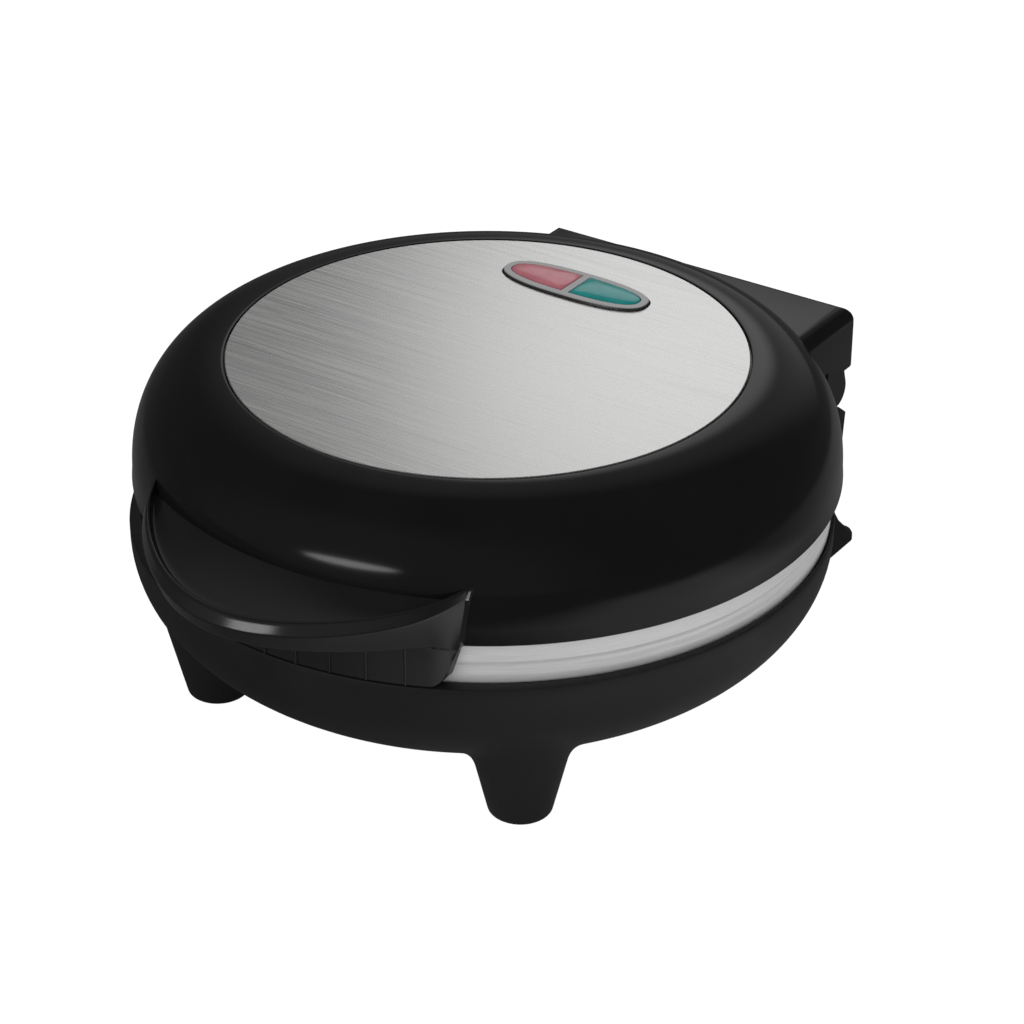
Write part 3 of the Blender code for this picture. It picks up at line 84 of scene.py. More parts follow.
def node(tree, kind, values=(), **settings):
    """A shader node with its settings, and values for its sockets by place or name."""
    made = tree.nodes.new(kind)
    for key, value in settings.items():
        setattr(made, key, value)
    for key, value in dict(values).items():
        made.inputs[key].default_value = value
    return made


def math_node(tree, operation, first, second):
    """A calculation with two sockets or numbers."""
    made = node(tree, "ShaderNodeMath", operation=operation)
    for index, part in enumerate((first, second)):
        if isinstance(part, (int, float)):
            made.inputs[index].default_value = part
        else:
            wire(tree, part, made.inputs[index])
    return made.outputs[0]


def seen_directly(tree):
    """The light path node, and 1 for rays from the camera or through glass."""
    path = node(tree, "ShaderNodeLightPath")
    return path, math_node(tree, "MAXIMUM", path.outputs["Is Camera Ray"],
                           path.outputs["Is Transmission Ray"])


def ramp(tree, value, start, end, low, high):
    """A smooth step of a value from one range to another."""
    made = node(tree, "ShaderNodeMapRange",
                {"From Min": start, "From Max": end, "To Min": low, "To Max": high},
                interpolation_type="SMOOTHSTEP")
    wire(tree, value, made.inputs["Value"])
    return made.outputs[0]


def either(tree, factor, first, second):
    """The first number where the factor is 0, the second where it is 1."""
    made = node(tree, "ShaderNodeMix", data_type="FLOAT")
    wire(tree, factor, made.inputs["Factor"])
    for key, part in (("A", first), ("B", second)):
        if isinstance(part, (int, float)):
            made.inputs[key].default_value = part
        else:
            wire(tree, part, made.inputs[key])
    return made.outputs["Result"]


bpy.ops.object.select_all(action="DESELECT")
bpy.ops.mesh.primitive_grid_add(x_subdivisions=2, y_subdivisions=2, size=FLOOR_SIZE, location=(0, 0, 0))
floor = bpy.context.active_object
floor.name = "floor"
paper = bpy.data.materials.new("white floor")
paper.use_nodes = True
tree = paper.node_tree
shader = tree.nodes["Principled BSDF"]
shader.inputs["Base Color"].default_value = (FLOOR_WHITE, FLOOR_WHITE, FLOOR_WHITE, 1)
shader.inputs["Roughness"].default_value = 0.9
shader.inputs["Specular IOR Level"].default_value = 0.1
glow = node(tree, "ShaderNodeEmission")
blend = node(tree, "ShaderNodeMixShader")
path, seen = seen_directly(tree)
shown = math_node(tree, "MULTIPLY", seen, FLOOR_SHOWN)
wire(tree, math_node(tree, "MAXIMUM", shown, path.outputs["Is Glossy Ray"]), blend.inputs[0])
place = node(tree, "ShaderNodeTexCoord")
axes = node(tree, "ShaderNodeSeparateXYZ")
wire(tree, place.outputs["Object"], axes.inputs[0])
reach = node(tree, "ShaderNodeVectorMath", operation="LENGTH")
wire(tree, place.outputs["Object"], reach.inputs[0])
# What gloss sees of the floor is painted: a painted shadow close round the object, a painted pool of light
# out to about half a metre, dimmer to the front, left and behind.
mirrored = FLOOR_MIRRORED[1]
for value, start, end, low, high in ((reach.outputs["Value"], 0.12, 0.24, 0.25, 1.0),
                                     (reach.outputs["Value"], 0.38, 0.54, 1.0, 0.0),
                                     (axes.outputs["Y"], -0.26, -0.10, 0.0, 1.0),
                                     (axes.outputs["X"], -0.05, 0.15, 0.05, 1.0),
                                     (axes.outputs["Y"], 0.02, 0.16, 1.0, 0.15)):
    mirrored = math_node(tree, "MULTIPLY", ramp(tree, value, start, end, low, high), mirrored)
mirrored = math_node(tree, "ADD", mirrored, FLOOR_MIRRORED[0])
wire(tree, either(tree, seen, mirrored, FLOOR_GLOW), glow.inputs["Strength"])
wire(tree, shader.outputs[0], blend.inputs[1])
wire(tree, glow.outputs[0], blend.inputs[2])
wire(tree, blend.outputs[0], tree.nodes["Material Output"].inputs[0])
floor.data.materials.append(paper)


world = bpy.data.worlds.new("room")
bpy.context.scene.world = world
world.use_nodes = True
tree = world.node_tree
place = node(tree, "ShaderNodeTexCoord")
axes = node(tree, "ShaderNodeSeparateXYZ")
wire(tree, place.outputs["Generated"], axes.inputs[0])
left = node(tree, "ShaderNodeVectorMath", {1: (-0.5, 0.866, 0.5)}, operation="DOT_PRODUCT")
wire(tree, place.outputs["Generated"], left.inputs[0])
behind = ramp(tree, left.outputs["Value"], 0.78, 1.02, 0.0, 1.0)
bounds = math_node(tree, "MULTIPLY", ramp(tree, axes.outputs["Z"], 0.86, 0.99, 1.0, 0.1),
                   ramp(tree, axes.outputs["X"], -0.80, -0.35, 0.0, 1.0))
path, seen = seen_directly(tree)
mirrored = math_node(tree, "MULTIPLY", math_node(tree, "MULTIPLY", bounds, behind), ROOM_MIRRORED[1])
mirrored = math_node(tree, "ADD", mirrored,
                     ramp(tree, axes.outputs["Y"], -0.75, -0.25, ROOM_FRONT, ROOM_MIRRORED[0]))
lit = either(tree, path.outputs["Is Glossy Ray"], ROOM_LEVEL, mirrored)
wire(tree, either(tree, seen, lit, 1.0), tree.nodes["Background"].inputs["Strength"])
tree.nodes["Background"].inputs["Color"].default_value = (1, 1, 1, 1)

# Each lamp's place, aim, size, roll in degrees, where its edge begins to fade, and power
SOFTBOXES = {
    "disc card": ((-0.225, 0.511, 0.409), (0, 0, 0.11), (0.44, 0.36), 0, 0.20, 0.40),
    "front strip": ((-0.125, -1.142, 0.365), (0, 0, 0.09), (0.66, 0.12), 9, 0.40, 2.3),
}
for name, (place, aim, size, roll, edge, power) in SOFTBOXES.items():
    data = bpy.data.lights.new(name, "AREA")
    data.shape = "RECTANGLE"
    data.size, data.size_y = size
    data.energy = power
    data.use_nodes = True
    tree = data.node_tree
    spot = node(tree, "ShaderNodeVectorMath", {1: (0.5, 0.5, 0.0)}, operation="DISTANCE")
    wire(tree, node(tree, "ShaderNodeNewGeometry").outputs["Parametric"], spot.inputs[0])
    wire(tree, ramp(tree, spot.outputs["Value"], edge, 0.50, 1.0, 0.0),
         tree.nodes["Emission"].inputs["Strength"])
    lamp = bpy.data.objects.new(name, data)
    bpy.context.scene.collection.objects.link(lamp)
    lamp.location = place
    turn = (Vector(aim) - Vector(place)).to_track_quat("-Z", "Y")
    lamp.rotation_euler = (turn @ Quaternion((0, 0, 1), math.radians(roll))).to_euler()

# Base shell: the black bowl with its stepped rim, two front feet blended into
# it, and the rear bracket on two legs with the hinge barrel. One moulding in
# polypropylene with a fine satin texture.
BASE_Y = -0.00125
BASE_RADIUS = 0.1116
RIM_Z = 0.0591
RIM_ROUND = 0.0007
BOWL_TOP_Z = 0.0559
BOWL_BOTTOM_Z = 0.0099
BOWL_FLAT = 0.0307
BOWL_POWER = 2.15
WALL = 0.0026
RECESS_RADIUS = 0.1099
LEDGE_Z = 0.0570
OPENING_RADIUS = 0.1039
SHELF_Z = 0.05485
SHELF_RADIUS = 0.1002
RIM_CUT_Z = 0.07
POST_SPREAD = 0.0495
POST_RADIUS = 0.0056
POST_BOTTOM_Z = 0.0165
POST_TOP_Z = 0.0325
SCREW_WAY_RADIUS = 0.0038
SCREW_WAY_TOP_Z = 0.0253
FOOT_PLACES = ((-0.0583, -0.06555), (0.0583, -0.06555))
FOOT_PROFILE = ((0.0, 0.0027), (0.0073, 0.0027), (0.0073, 0.0008), (0.0076, 0.0005), (0.0086, 0.0005),
                (0.0091, 0.0006), (0.0096, 0.0010), (0.0099, 0.0014), (0.0101, 0.0020))
FOOT_TOP = (0.0187, 0.0380)
FOOT_BLEND = 0.0038
FOOT_SINK = 0.001
FOOT_CORE = 0.004
FOOT_STEPS = 96
PIVOT = (0.12175, 0.0626)
BRACKET_HALF = 0.0597
BRACKET_PROFILE = ((0.08175, 0.0557), (0.12395, 0.0557), (0.13625, 0.0463), (0.13625, 0.0005),
                   (0.10175, 0.0005), (0.10175, 0.0220), (0.08175, 0.0340))
BRACKET_LEVELS = ((-0.001, 0.0580, 0.12935), (0.0557, 0.0597, 0.13155), (0.0570, 0.0597, 0.13155))
BRACKET_CORNER = 0.0024
ARCH = ((-0.0340, -0.003), (0.0340, -0.003), (0.0340, 0.0280), (-0.0340, 0.0280))
ARCH_ROUND = 0.0080
PLATE_ROOM = (0.0385, 0.0600, 0.1046)
LEG_FOOT_LEVELS = ((0.0005, 0.0008), (0.0011, 0.0), (0.0030, 0.0), (0.0040, 0.0005), (0.0047, 0.0016),
                   (0.0058, 0.0030), (0.0080, 0.0045), (0.0112, 0.0056), (0.0155, 0.0062))
LEG_FOOT_INNER = 0.0310
LEG_FOOT_OUTER = 0.0637
LEG_FOOT_FRONT = 0.09875
LEG_FOOT_BACK = 0.1357
LEG_FOOT_CORNER = (0.0045, 0.0012)
BARREL_RADIUS = 0.0055
BARREL_HALF = 0.0434
BARREL_WEB = (0.004, 0.0540)
REAR_PADS = ((-0.047, 0.11775), (0.047, 0.11775))
PAD_SEAT = (0.0027, 0.0073)
INLET_Z = 0.0415
INLET_COLLAR = (0.125, 0.1324, 0.0068)
INLET_BORE = (0.127, 0.14, 0.0046)
BELOW_Z = -0.01
MERGE = 0.000002


def chain(name, points):
    """A new object of edges through the points, extruded from one point; left in edit mode."""
    bpy.ops.object.select_all(action="DESELECT")
    bpy.ops.mesh.primitive_plane_add(size=0.01, location=(0, 0, 0))
    made = bpy.context.active_object
    made.name = name
    bpy.ops.object.mode_set(mode="EDIT")
    bpy.ops.mesh.select_all(action="SELECT")
    bpy.ops.mesh.merge(type="CENTER")
    bpy.ops.mesh.select_all(action="SELECT")
    bpy.ops.transform.translate(value=Vector(points[0]))
    for before, after in zip(points, points[1:]):
        bpy.ops.mesh.extrude_vertices_move(TRANSFORM_OT_translate={"value": Vector(after) - Vector(before)})
    return made


def close(made):
    """Merge what meets, point the faces outwards and leave edit mode."""
    bpy.ops.mesh.select_all(action="SELECT")
    bpy.ops.mesh.remove_doubles(threshold=MERGE)
    bpy.ops.mesh.normals_make_consistent(inside=False)
    bpy.ops.object.mode_set(mode="OBJECT")
    return made


def turned(name, profile, y, steps=192):
    """(radius, z) points spun about the upright axis at Y."""
    made = chain(name, [(radius, y, z) for radius, z in profile])
    bpy.ops.mesh.select_all(action="SELECT")
    bpy.ops.mesh.spin(steps=steps, angle=math.tau, center=(0, y, 0), axis=(0, 0, 1))
    return close(made)


def extruded(name, outline, run):
    """A flat closed outline pushed along a run."""
    made = chain(name, list(outline) + [outline[0]])
    bpy.ops.mesh.select_all(action="SELECT")
    bpy.ops.mesh.remove_doubles(threshold=MERGE)
    bpy.ops.mesh.edge_face_add()
    bpy.ops.mesh.extrude_region_move(TRANSFORM_OT_translate={"value": Vector(run)})
    return close(made)


def lofted(name, rings):
    """Closed rings of equal point counts, skinned with a wrapped grid and capped."""
    across, along = len(rings[0]), len(rings) - 1
    bpy.ops.object.select_all(action="DESELECT")
    bpy.ops.mesh.primitive_grid_add(x_subdivisions=across, y_subdivisions=along, size=1, location=(0, 0, 0))
    made = bpy.context.active_object
    made.name = name
    for vert in made.data.vertices:
        column = round((vert.co.x + 0.5) * across) % across
        vert.co = rings[round((vert.co.y + 0.5) * along)][column]
    bpy.ops.object.mode_set(mode="EDIT")
    bpy.ops.mesh.select_all(action="SELECT")
    bpy.ops.mesh.remove_doubles(threshold=MERGE)
    bpy.ops.mesh.fill_holes(sides=0)
    return close(made)


def rounded(outline, radii, steps=8):
    """Round each corner of a flat outline with its own arc radius."""
    points = []
    for index, corner in enumerate(outline):
        corner = Vector(corner)
        back = (Vector(outline[index - 1]) - corner).normalized()
        ahead = (Vector(outline[(index + 1) % len(outline)]) - corner).normalized()
        half = back.angle(ahead) / 2
        if radii[index] == 0:
            points.append(tuple(corner))
            continue
        centre = corner + (back + ahead).normalized() * radii[index] / math.sin(half)
        first = corner + back * radii[index] / math.tan(half) - centre
        last = corner + ahead * radii[index] / math.tan(half) - centre
        sweep = math.atan2(first.x * last.y - first.y * last.x, first.dot(last))
        for step in range(steps + 1):
            turn = sweep * step / steps
            points.append((centre.x + first.x * math.cos(turn) - first.y * math.sin(turn),
                           centre.y + first.x * math.sin(turn) + first.y * math.cos(turn)))
    return points


def shoulder(inner, outer, low, high, power, steps=48):
    """(radius, z) points of a superellipse quarter from (outer, low) to (inner, high)."""
    turns = [math.pi / 2 * step / steps for step in range(steps + 1)]
    return [(inner + (outer - inner) * max(math.cos(turn), 0) ** (2 / power),
             low + (high - low) * max(math.sin(turn), 0) ** (2 / power)) for turn in turns]


def arc(centre, radius, start, end, steps=12):
    """Points of a circle between two angles in degrees."""
    turns = [math.radians(start + (end - start) * step / steps) for step in range(steps + 1)]
    return [(centre[0] + radius * math.cos(turn), centre[1] + radius * math.sin(turn)) for turn in turns]


def shape(target, operation, *tools):
    """Cut, join or trim the target by the tools, which are then gone."""
    for tool in tools:
        bpy.ops.object.select_all(action="DESELECT")
        bpy.context.view_layer.objects.active = target
        step = target.modifiers.new(operation.lower(), "BOOLEAN")
        step.operation = operation
        step.object = tool
        bpy.ops.object.modifier_apply(modifier=step.name)
        bpy.data.objects.remove(tool)
    return target


def cylinder(name, start, end, radius, steps=48):
    """A straight round bar between two points."""
    run = Vector(end) - Vector(start)
    bpy.ops.object.select_all(action="DESELECT")
    bpy.ops.mesh.primitive_cylinder_add(vertices=steps, radius=radius, depth=run.length,
                                        location=(Vector(start) + Vector(end)) / 2,
                                        rotation=run.to_track_quat("Z", "Y").to_euler())
    made = bpy.context.active_object
    made.name = name
    bpy.ops.object.transform_apply(location=True, rotation=True, scale=True)
    return made


def together(name, first, *others):
    """Make one object of several bodies."""
    bpy.ops.object.select_all(action="DESELECT")
    for piece in (first, *others):
        piece.select_set(True)
    bpy.context.view_layer.objects.active = first
    bpy.ops.object.join()
    first.name = name
    first.data.name = name
    return first


def dress(piece, look, body, stands_for, angle=30):
    """Smooth the piece, give it its look, and hand it to its body."""
    bpy.ops.object.select_all(action="DESELECT")
    piece.select_set(True)
    bpy.context.view_layer.objects.active = piece
    bpy.ops.object.shade_smooth_by_angle(angle=math.radians(angle))
    piece.data.materials.clear()
    piece.data.materials.append(LOOKS[look])
    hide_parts(stands_for)
    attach(piece, body)
    return piece


def new_group(name, inputs, outputs):
    """An empty shader node group with its sockets and its two end nodes."""
    group = bpy.data.node_groups.new(name, "ShaderNodeTree")
    for key, value in inputs.items():
        group.interface.new_socket(key, in_out="INPUT", socket_type="NodeSocketFloat").default_value = value
    for key, kind in outputs.items():
        group.interface.new_socket(key, in_out="OUTPUT", socket_type=kind)
    return group, group.nodes.new("NodeGroupInput"), group.nodes.new("NodeGroupOutput")


def noise(group, place, size, detail, roughness):
    """A noise over the place, its size in metres given by a socket."""
    made = node(group, "ShaderNodeTexNoise", {"Detail": detail, "Roughness": roughness})
    wire(group, place, made.inputs["Vector"])
    wire(group, math_node(group, "DIVIDE", 1.0, size), made.inputs["Scale"])
    return made.outputs[0]


def grain_ends(group, given, result, height, mottle):
    """Hand out a bump of one value as the normal, and another as the mottle."""
    bump = node(group, "ShaderNodeBump", {"Strength": 1.0})
    wire(group, height, bump.inputs["Height"])
    wire(group, given.outputs["Depth"], bump.inputs["Distance"])
    wire(group, ramp(group, mottle, 0.3, 0.7, 0.0, 1.0), result.inputs["Mottle"])
    wire(group, bump.outputs[0], result.inputs["Normal"])


GRAIN_OUTPUTS = {"Mottle": "NodeSocketFloat", "Normal": "NodeSocketVector"}

# Moulded grain: a fine even texture with slow flow marks over it
moulded, given, result = new_group("moulded grain", {"Grain": 0.0005, "Depth": 0.00002, "Patch": 0.03},
                                   GRAIN_OUTPUTS)
spot = node(moulded, "ShaderNodeTexCoord")
grain = noise(moulded, spot.outputs["Object"], given.outputs["Grain"], 3.0, 0.6)
patch = noise(moulded, spot.outputs["Object"], given.outputs["Patch"], 4.0, 0.55)
grain_ends(moulded, given, result, grain, patch)

# Brushed grain: long straight scratches along X, parts of a millimetre apart
brushed, given, result = new_group("brushed grain", {"Spacing": 0.0002, "Stretch": 90.0, "Depth": 0.00001},
                                   GRAIN_OUTPUTS)
spot = node(brushed, "ShaderNodeTexCoord")
axes = node(brushed, "ShaderNodeSeparateXYZ")
wire(brushed, spot.outputs["Object"], axes.inputs[0])
drawn = node(brushed, "ShaderNodeCombineXYZ")
wire(brushed, math_node(brushed, "DIVIDE", axes.outputs["X"], given.outputs["Stretch"]), drawn.inputs["X"])
wire(brushed, axes.outputs["Y"], drawn.inputs["Y"])
wire(brushed, axes.outputs["Z"], drawn.inputs["Z"])
lines = noise(brushed, drawn.outputs[0], given.outputs["Spacing"], 4.0, 0.7)
grain_ends(brushed, given, result, lines, lines)

# Turned grain: fine lines round the lid's axis
turning, given, result = new_group("turned grain", {"Spacing": 0.0002, "Stretch": 0.0012, "Depth": 0.00001,
                                                    "Axis": LID_Y}, GRAIN_OUTPUTS)
spot = node(turning, "ShaderNodeTexCoord")
axes = node(turning, "ShaderNodeSeparateXYZ")
wire(turning, spot.outputs["Object"], axes.inputs[0])
forward = math_node(turning, "SUBTRACT", axes.outputs["Y"], given.outputs["Axis"])
angle = math_node(turning, "ARCTAN2", forward, axes.outputs["X"])
squares = math_node(turning, "ADD", math_node(turning, "POWER", axes.outputs["X"], 2),
                    math_node(turning, "POWER", forward, 2))
reach = math_node(turning, "SQRT", squares, 0)
drawn = node(turning, "ShaderNodeCombineXYZ")
wire(turning, math_node(turning, "MULTIPLY", angle, given.outputs["Stretch"]), drawn.inputs["X"])
wire(turning, reach, drawn.inputs["Y"])
wire(turning, axes.outputs["Z"], drawn.inputs["Z"])
lines = noise(turning, drawn.outputs[0], given.outputs["Spacing"], 3.0, 0.6)
grain_ends(turning, given, result, lines, lines)

LOOKS = {}


def make_look(name, colours, roughness, group, values, metallic=0.0, coat=0.0, specular=0.5, glass=0.0):
    """A material whose colour and roughness run between two values over a grain."""
    look = bpy.data.materials.new(name)
    look.use_nodes = True
    tree = look.node_tree
    shader = tree.nodes["Principled BSDF"]
    grain = tree.nodes.new("ShaderNodeGroup")
    grain.node_tree = group
    for key, value in values.items():
        grain.inputs[key].default_value = value
    tint = node(tree, "ShaderNodeMix", data_type="RGBA")
    for socket in tint.inputs:
        if socket.type == "RGBA" and socket.enabled:
            socket.default_value = (*(colours[0] if socket.name == "A" else colours[1]), 1)
    wire(tree, grain.outputs["Mottle"], tint.inputs[0])
    wire(tree, [socket for socket in tint.outputs if socket.type == "RGBA"][0], shader.inputs["Base Color"])
    wire(tree, ramp(tree, grain.outputs["Mottle"], 0.0, 1.0, *roughness), shader.inputs["Roughness"])
    wire(tree, grain.outputs["Normal"], shader.inputs["Normal"])
    shader.inputs["Metallic"].default_value = metallic
    shader.inputs["Coat Weight"].default_value = coat
    shader.inputs["Specular IOR Level"].default_value = specular
    shader.inputs["Transmission Weight"].default_value = glass
    LOOKS[name] = look


make_look("satin_black", ((0.0105, 0.0105, 0.011), (0.0135, 0.0135, 0.014)), (0.48, 0.58), moulded,
          {"Grain": 0.00045, "Depth": 0.000012, "Patch": 0.035}, specular=0.28)

rim = [(0.0, RIM_Z), (BASE_RADIUS - RIM_ROUND, RIM_Z),
       (BASE_RADIUS - RIM_ROUND * 0.3, RIM_Z - RIM_ROUND * 0.3), (BASE_RADIUS, RIM_Z - RIM_ROUND)]
base = turned("base", rim + shoulder(BOWL_FLAT, BASE_RADIUS, BOWL_TOP_Z, BOWL_BOTTOM_Z, BOWL_POWER)
              + [(0, BOWL_BOTTOM_Z)], BASE_Y)
hollow = shoulder(BOWL_FLAT, BASE_RADIUS - WALL, BOWL_TOP_Z, BOWL_BOTTOM_Z + WALL, BOWL_POWER)
hollow = [(radius, z) for radius, z in hollow if z < SHELF_Z - WALL and radius < SHELF_RADIUS]
shape(base, "DIFFERENCE",
      turned("hollow", [(0, SHELF_Z - WALL), (SHELF_RADIUS, SHELF_Z - WALL)] + hollow
             + [(0, BOWL_BOTTOM_Z + WALL)], BASE_Y, steps=96),
      turned("rim step", [(0, RIM_CUT_Z), (RECESS_RADIUS, RIM_CUT_Z), (RECESS_RADIUS, LEDGE_Z),
                          (OPENING_RADIUS, LEDGE_Z), (OPENING_RADIUS, SHELF_Z), (SHELF_RADIUS, SHELF_Z),
                          (SHELF_RADIUS, SHELF_Z - 2 * WALL), (0, SHELF_Z - 2 * WALL)], LID_Y))
feet = []
for index, (x, y) in enumerate(FOOT_PLACES):
    columns = []
    for step in range(FOOT_STEPS):
        turn = math.tau * step / FOOT_STEPS
        ahead = Vector((math.cos(turn), math.sin(turn), 0))
        (radius, z), (wide, top) = FOOT_PROFILE[-1], FOOT_TOP
        lean = (wide - radius) / (top - z)

        def under(reach):
            """The bowl's outside height at a distance from the foot's axis."""
            far = math.hypot(x + ahead.x * reach, y + ahead.y * reach - BASE_Y)
            part = min(max((far - BOWL_FLAT) / (BASE_RADIUS - BOWL_FLAT), 0), 1)
            return BOWL_TOP_Z - (BOWL_TOP_Z - BOWL_BOTTOM_Z) * (1 - part ** BOWL_POWER) ** (1 / BOWL_POWER)

        low, high = z, top
        for attempt in range(30):
            middle = (low + high) / 2
            low, high = (middle, high) if under(radius + (middle - z) * lean) > middle else (low, middle)
        meet = (radius + (low - z) * lean, low)
        rest = max(meet[1] - FOOT_BLEND * 1.3, z + 0.0005)
        start = (radius + (rest - z) * lean, rest)
        end = (meet[0] + FOOT_BLEND, under(meet[0] + FOOT_BLEND))
        column = list(FOOT_PROFILE[1:])
        column += [(radius + (start[1] - z) * lean * share, z + (start[1] - z) * share)
                   for share in (0.25, 0.5, 0.75)]
        for part in range(9):
            share = part / 8
            column.append(tuple((1 - share) ** 2 * a + 2 * share * (1 - share) * b + share ** 2 * c
                                for a, b, c in zip(start, meet, end)))
        column += [(end[0] - FOOT_SINK, end[1] + FOOT_SINK), (FOOT_CORE, meet[1] + FOOT_SINK)]
        columns.append([(x + ahead.x * reach, y + ahead.y * reach, z) for reach, z in column])
    feet.append(lofted(f"foot {index}", [[column[row] for column in columns]
                                         for row in range(len(columns[0]))]))
bracket = extruded("bracket", [(-BRACKET_HALF, y, z) for y, z in BRACKET_PROFILE], (2 * BRACKET_HALF, 0, 0))
levels = []
for z, half, back in BRACKET_LEVELS:
    plan = rounded([(-half, 0), (half, 0), (half, back), (-half, back)],
                   [0, 0, BRACKET_CORNER, BRACKET_CORNER])
    levels.append([(x, y, z) for x, y in plan])
shape(bracket, "INTERSECT", lofted("bracket draft", levels))
arch = rounded(ARCH, [0, 0, ARCH_ROUND, ARCH_ROUND])
shape(bracket, "DIFFERENCE", extruded("arch", [(x, 0, z) for x, z in arch], (0, 0.15, 0)))
bottom, top, radius = PLATE_ROOM
shape(bracket, "DIFFERENCE", cylinder("plate room", (0, LID_Y, bottom), (0, LID_Y, top), radius))
leg_feet = []
for side in (-1, 1):
    levels = []
    for z, inset in LEG_FOOT_LEVELS:
        inner, outer = side * (LEG_FOOT_INNER + inset), side * (LEG_FOOT_OUTER - inset)
        front, back = LEG_FOOT_FRONT + inset, LEG_FOOT_BACK - inset
        plan = rounded([(inner, front), (outer, front), (outer, back), (inner, back)],
                       [max(LEG_FOOT_CORNER[0] - inset, LEG_FOOT_CORNER[1])] * 4)
        levels.append([(x, y, z) for x, y in plan])
    leg_feet.append(lofted(f"leg foot {side}", levels))
shape(bracket, "UNION", *leg_feet)
for name, operation, (front, back, radius) in (("collar", "UNION", INLET_COLLAR),
                                               ("inlet", "DIFFERENCE", INLET_BORE)):
    shape(bracket, operation, cylinder(name, (0, front, INLET_Z), (0, back, INLET_Z), radius))
for x, y in REAR_PADS:
    shape(bracket, "DIFFERENCE", cylinder("pad seat", (x, y, BELOW_Z), (x, y, PAD_SEAT[0]), PAD_SEAT[1]))
barrel = cylinder("barrel", (-BARREL_HALF, *PIVOT), (BARREL_HALF, *PIVOT), BARREL_RADIUS)
web = extruded("web", [(-BARREL_HALF, PIVOT[0] + side * BARREL_WEB[0], z) for side, z in
                       ((-1, BARREL_WEB[1]), (1, BARREL_WEB[1]), (1, PIVOT[1]), (-1, PIVOT[1]))],
               (2 * BARREL_HALF, 0, 0))
shape(barrel, "UNION", web)
for x in (-POST_SPREAD, POST_SPREAD):
    for y in (LID_Y - POST_SPREAD, LID_Y + POST_SPREAD):
        shape(base, "UNION", cylinder("post", (x, y, POST_BOTTOM_Z), (x, y, POST_TOP_Z), POST_RADIUS))
        shape(base, "DIFFERENCE",
              cylinder("screw way", (x, y, BELOW_Z), (x, y, SCREW_WAY_TOP_Z), SCREW_WAY_RADIUS))
dress(together("base_bowl", base, *feet, bracket, barrel), "satin_black", "base", "base_shell")

# Lid shell: the polished black dome with its sunk top, and the hinge block with
# two knuckles behind it, one injection moulding in gloss polypropylene.
LID_RADIUS = 0.1125
LID_SIDE = (0.1117, 0.0766)
LID_FLARE = 0.1120
LID_FLAT = 0.0820
LID_TOP_Z = 0.1108
LID_POWER = 2.13
RECESS_Z = 0.1097
LID_INSIDE_Z = 0.1071
LID_ROUND = 0.0003
RING_SEAT = (0.1092, 0.0784)
RING_STOP = (0.1070, 0.0796)
BLOCK_HALF = 0.0600
BLOCK_TOP_Z = 0.0904
BLOCK_OUTLINE = ((0.0930, LID_EDGE_Z), (0.0930, BLOCK_TOP_Z), (0.13025, BLOCK_TOP_Z), (0.13295, 0.0686),
                 (0.12605, 0.0686))
BLOCK_ROUNDS = (0, 0, 0.0034, 0.0028, 0)
BLOCK_CORNER = 0.0030
BLOCK_END_ROUND = 0.0055
BLOCK_TRIM = 0.05
BLOCK_HOLLOW = ((0.11525, BLOCK_TRIM), (0.12765, BLOCK_TRIM), (0.12765, 0.0864), (0.11525, 0.0864))
KNUCKLE_RADIUS = 0.0059
KNUCKLE_INNER = 0.0440
KNUCKLE_FRONT = 0.11475

make_look("gloss_black", ((0.0064, 0.0064, 0.0066), (0.0074, 0.0074, 0.0076)), (0.09, 0.13), moulded,
          {"Grain": 0.0014, "Depth": 0.0000015, "Patch": 0.03}, specular=0.20)

inside = shoulder(LID_FLAT - WALL, LID_SIDE[0] - WALL, LID_SIDE[1], LID_INSIDE_Z, LID_POWER)
inside = [(radius, z) for radius, z in inside if z > RING_STOP[1] + LID_ROUND]
lid_outside = shoulder(LID_FLAT + LID_ROUND, LID_SIDE[0], LID_SIDE[1], LID_TOP_Z, LID_POWER, 72)
dome = turned("dome", [(0, RECESS_Z), (LID_FLAT, RECESS_Z), (LID_FLAT, LID_TOP_Z - LID_ROUND),
                       (LID_FLAT + 0.0001, LID_TOP_Z - 0.0001)] + lid_outside[::-1]
              + [(LID_FLARE, LID_EDGE_Z + LID_ROUND), (LID_FLARE - LID_ROUND, LID_EDGE_Z),
                 (RING_SEAT[0], LID_EDGE_Z), RING_SEAT, (RING_STOP[0], RING_SEAT[1]), RING_STOP,
                 (inside[0][0], RING_STOP[1])]
              + inside + [(0, LID_INSIDE_Z)], LID_Y, steps=256)
upper = rounded(BLOCK_OUTLINE, BLOCK_ROUNDS, 12)
block = extruded("block", [(-BLOCK_HALF, y, z) for y, z in upper + [(BLOCK_OUTLINE[-1][0], LID_EDGE_Z)]],
                 (2 * BLOCK_HALF, 0, 0))
tail = arc(PIVOT, KNUCKLE_RADIUS, 20, -90) + [(KNUCKLE_FRONT, PIVOT[1] - KNUCKLE_RADIUS),
                                              (KNUCKLE_FRONT, LID_EDGE_Z)]
for side in (-1, 1):
    shape(block, "UNION", extruded("knuckle", [(side * KNUCKLE_INNER, y, z) for y, z in upper + tail],
                                   (side * (BLOCK_HALF - KNUCKLE_INNER), 0, 0)))
back = BLOCK_OUTLINE[3][0]
plan, face = [rounded([(-BLOCK_HALF, BLOCK_TRIM), (BLOCK_HALF, BLOCK_TRIM), (BLOCK_HALF, end),
                       (-BLOCK_HALF, end)], [0, 0, corner, corner])
              for end, corner in ((back, BLOCK_CORNER), (BLOCK_TOP_Z, BLOCK_END_ROUND))]
shape(block, "INTERSECT", extruded("block plan", [(x, y, BLOCK_TRIM) for x, y in plan], (0, 0, 0.05)),
      extruded("block face", [(x, BLOCK_TRIM, z) for x, z in face], (0, 0.09, 0)))
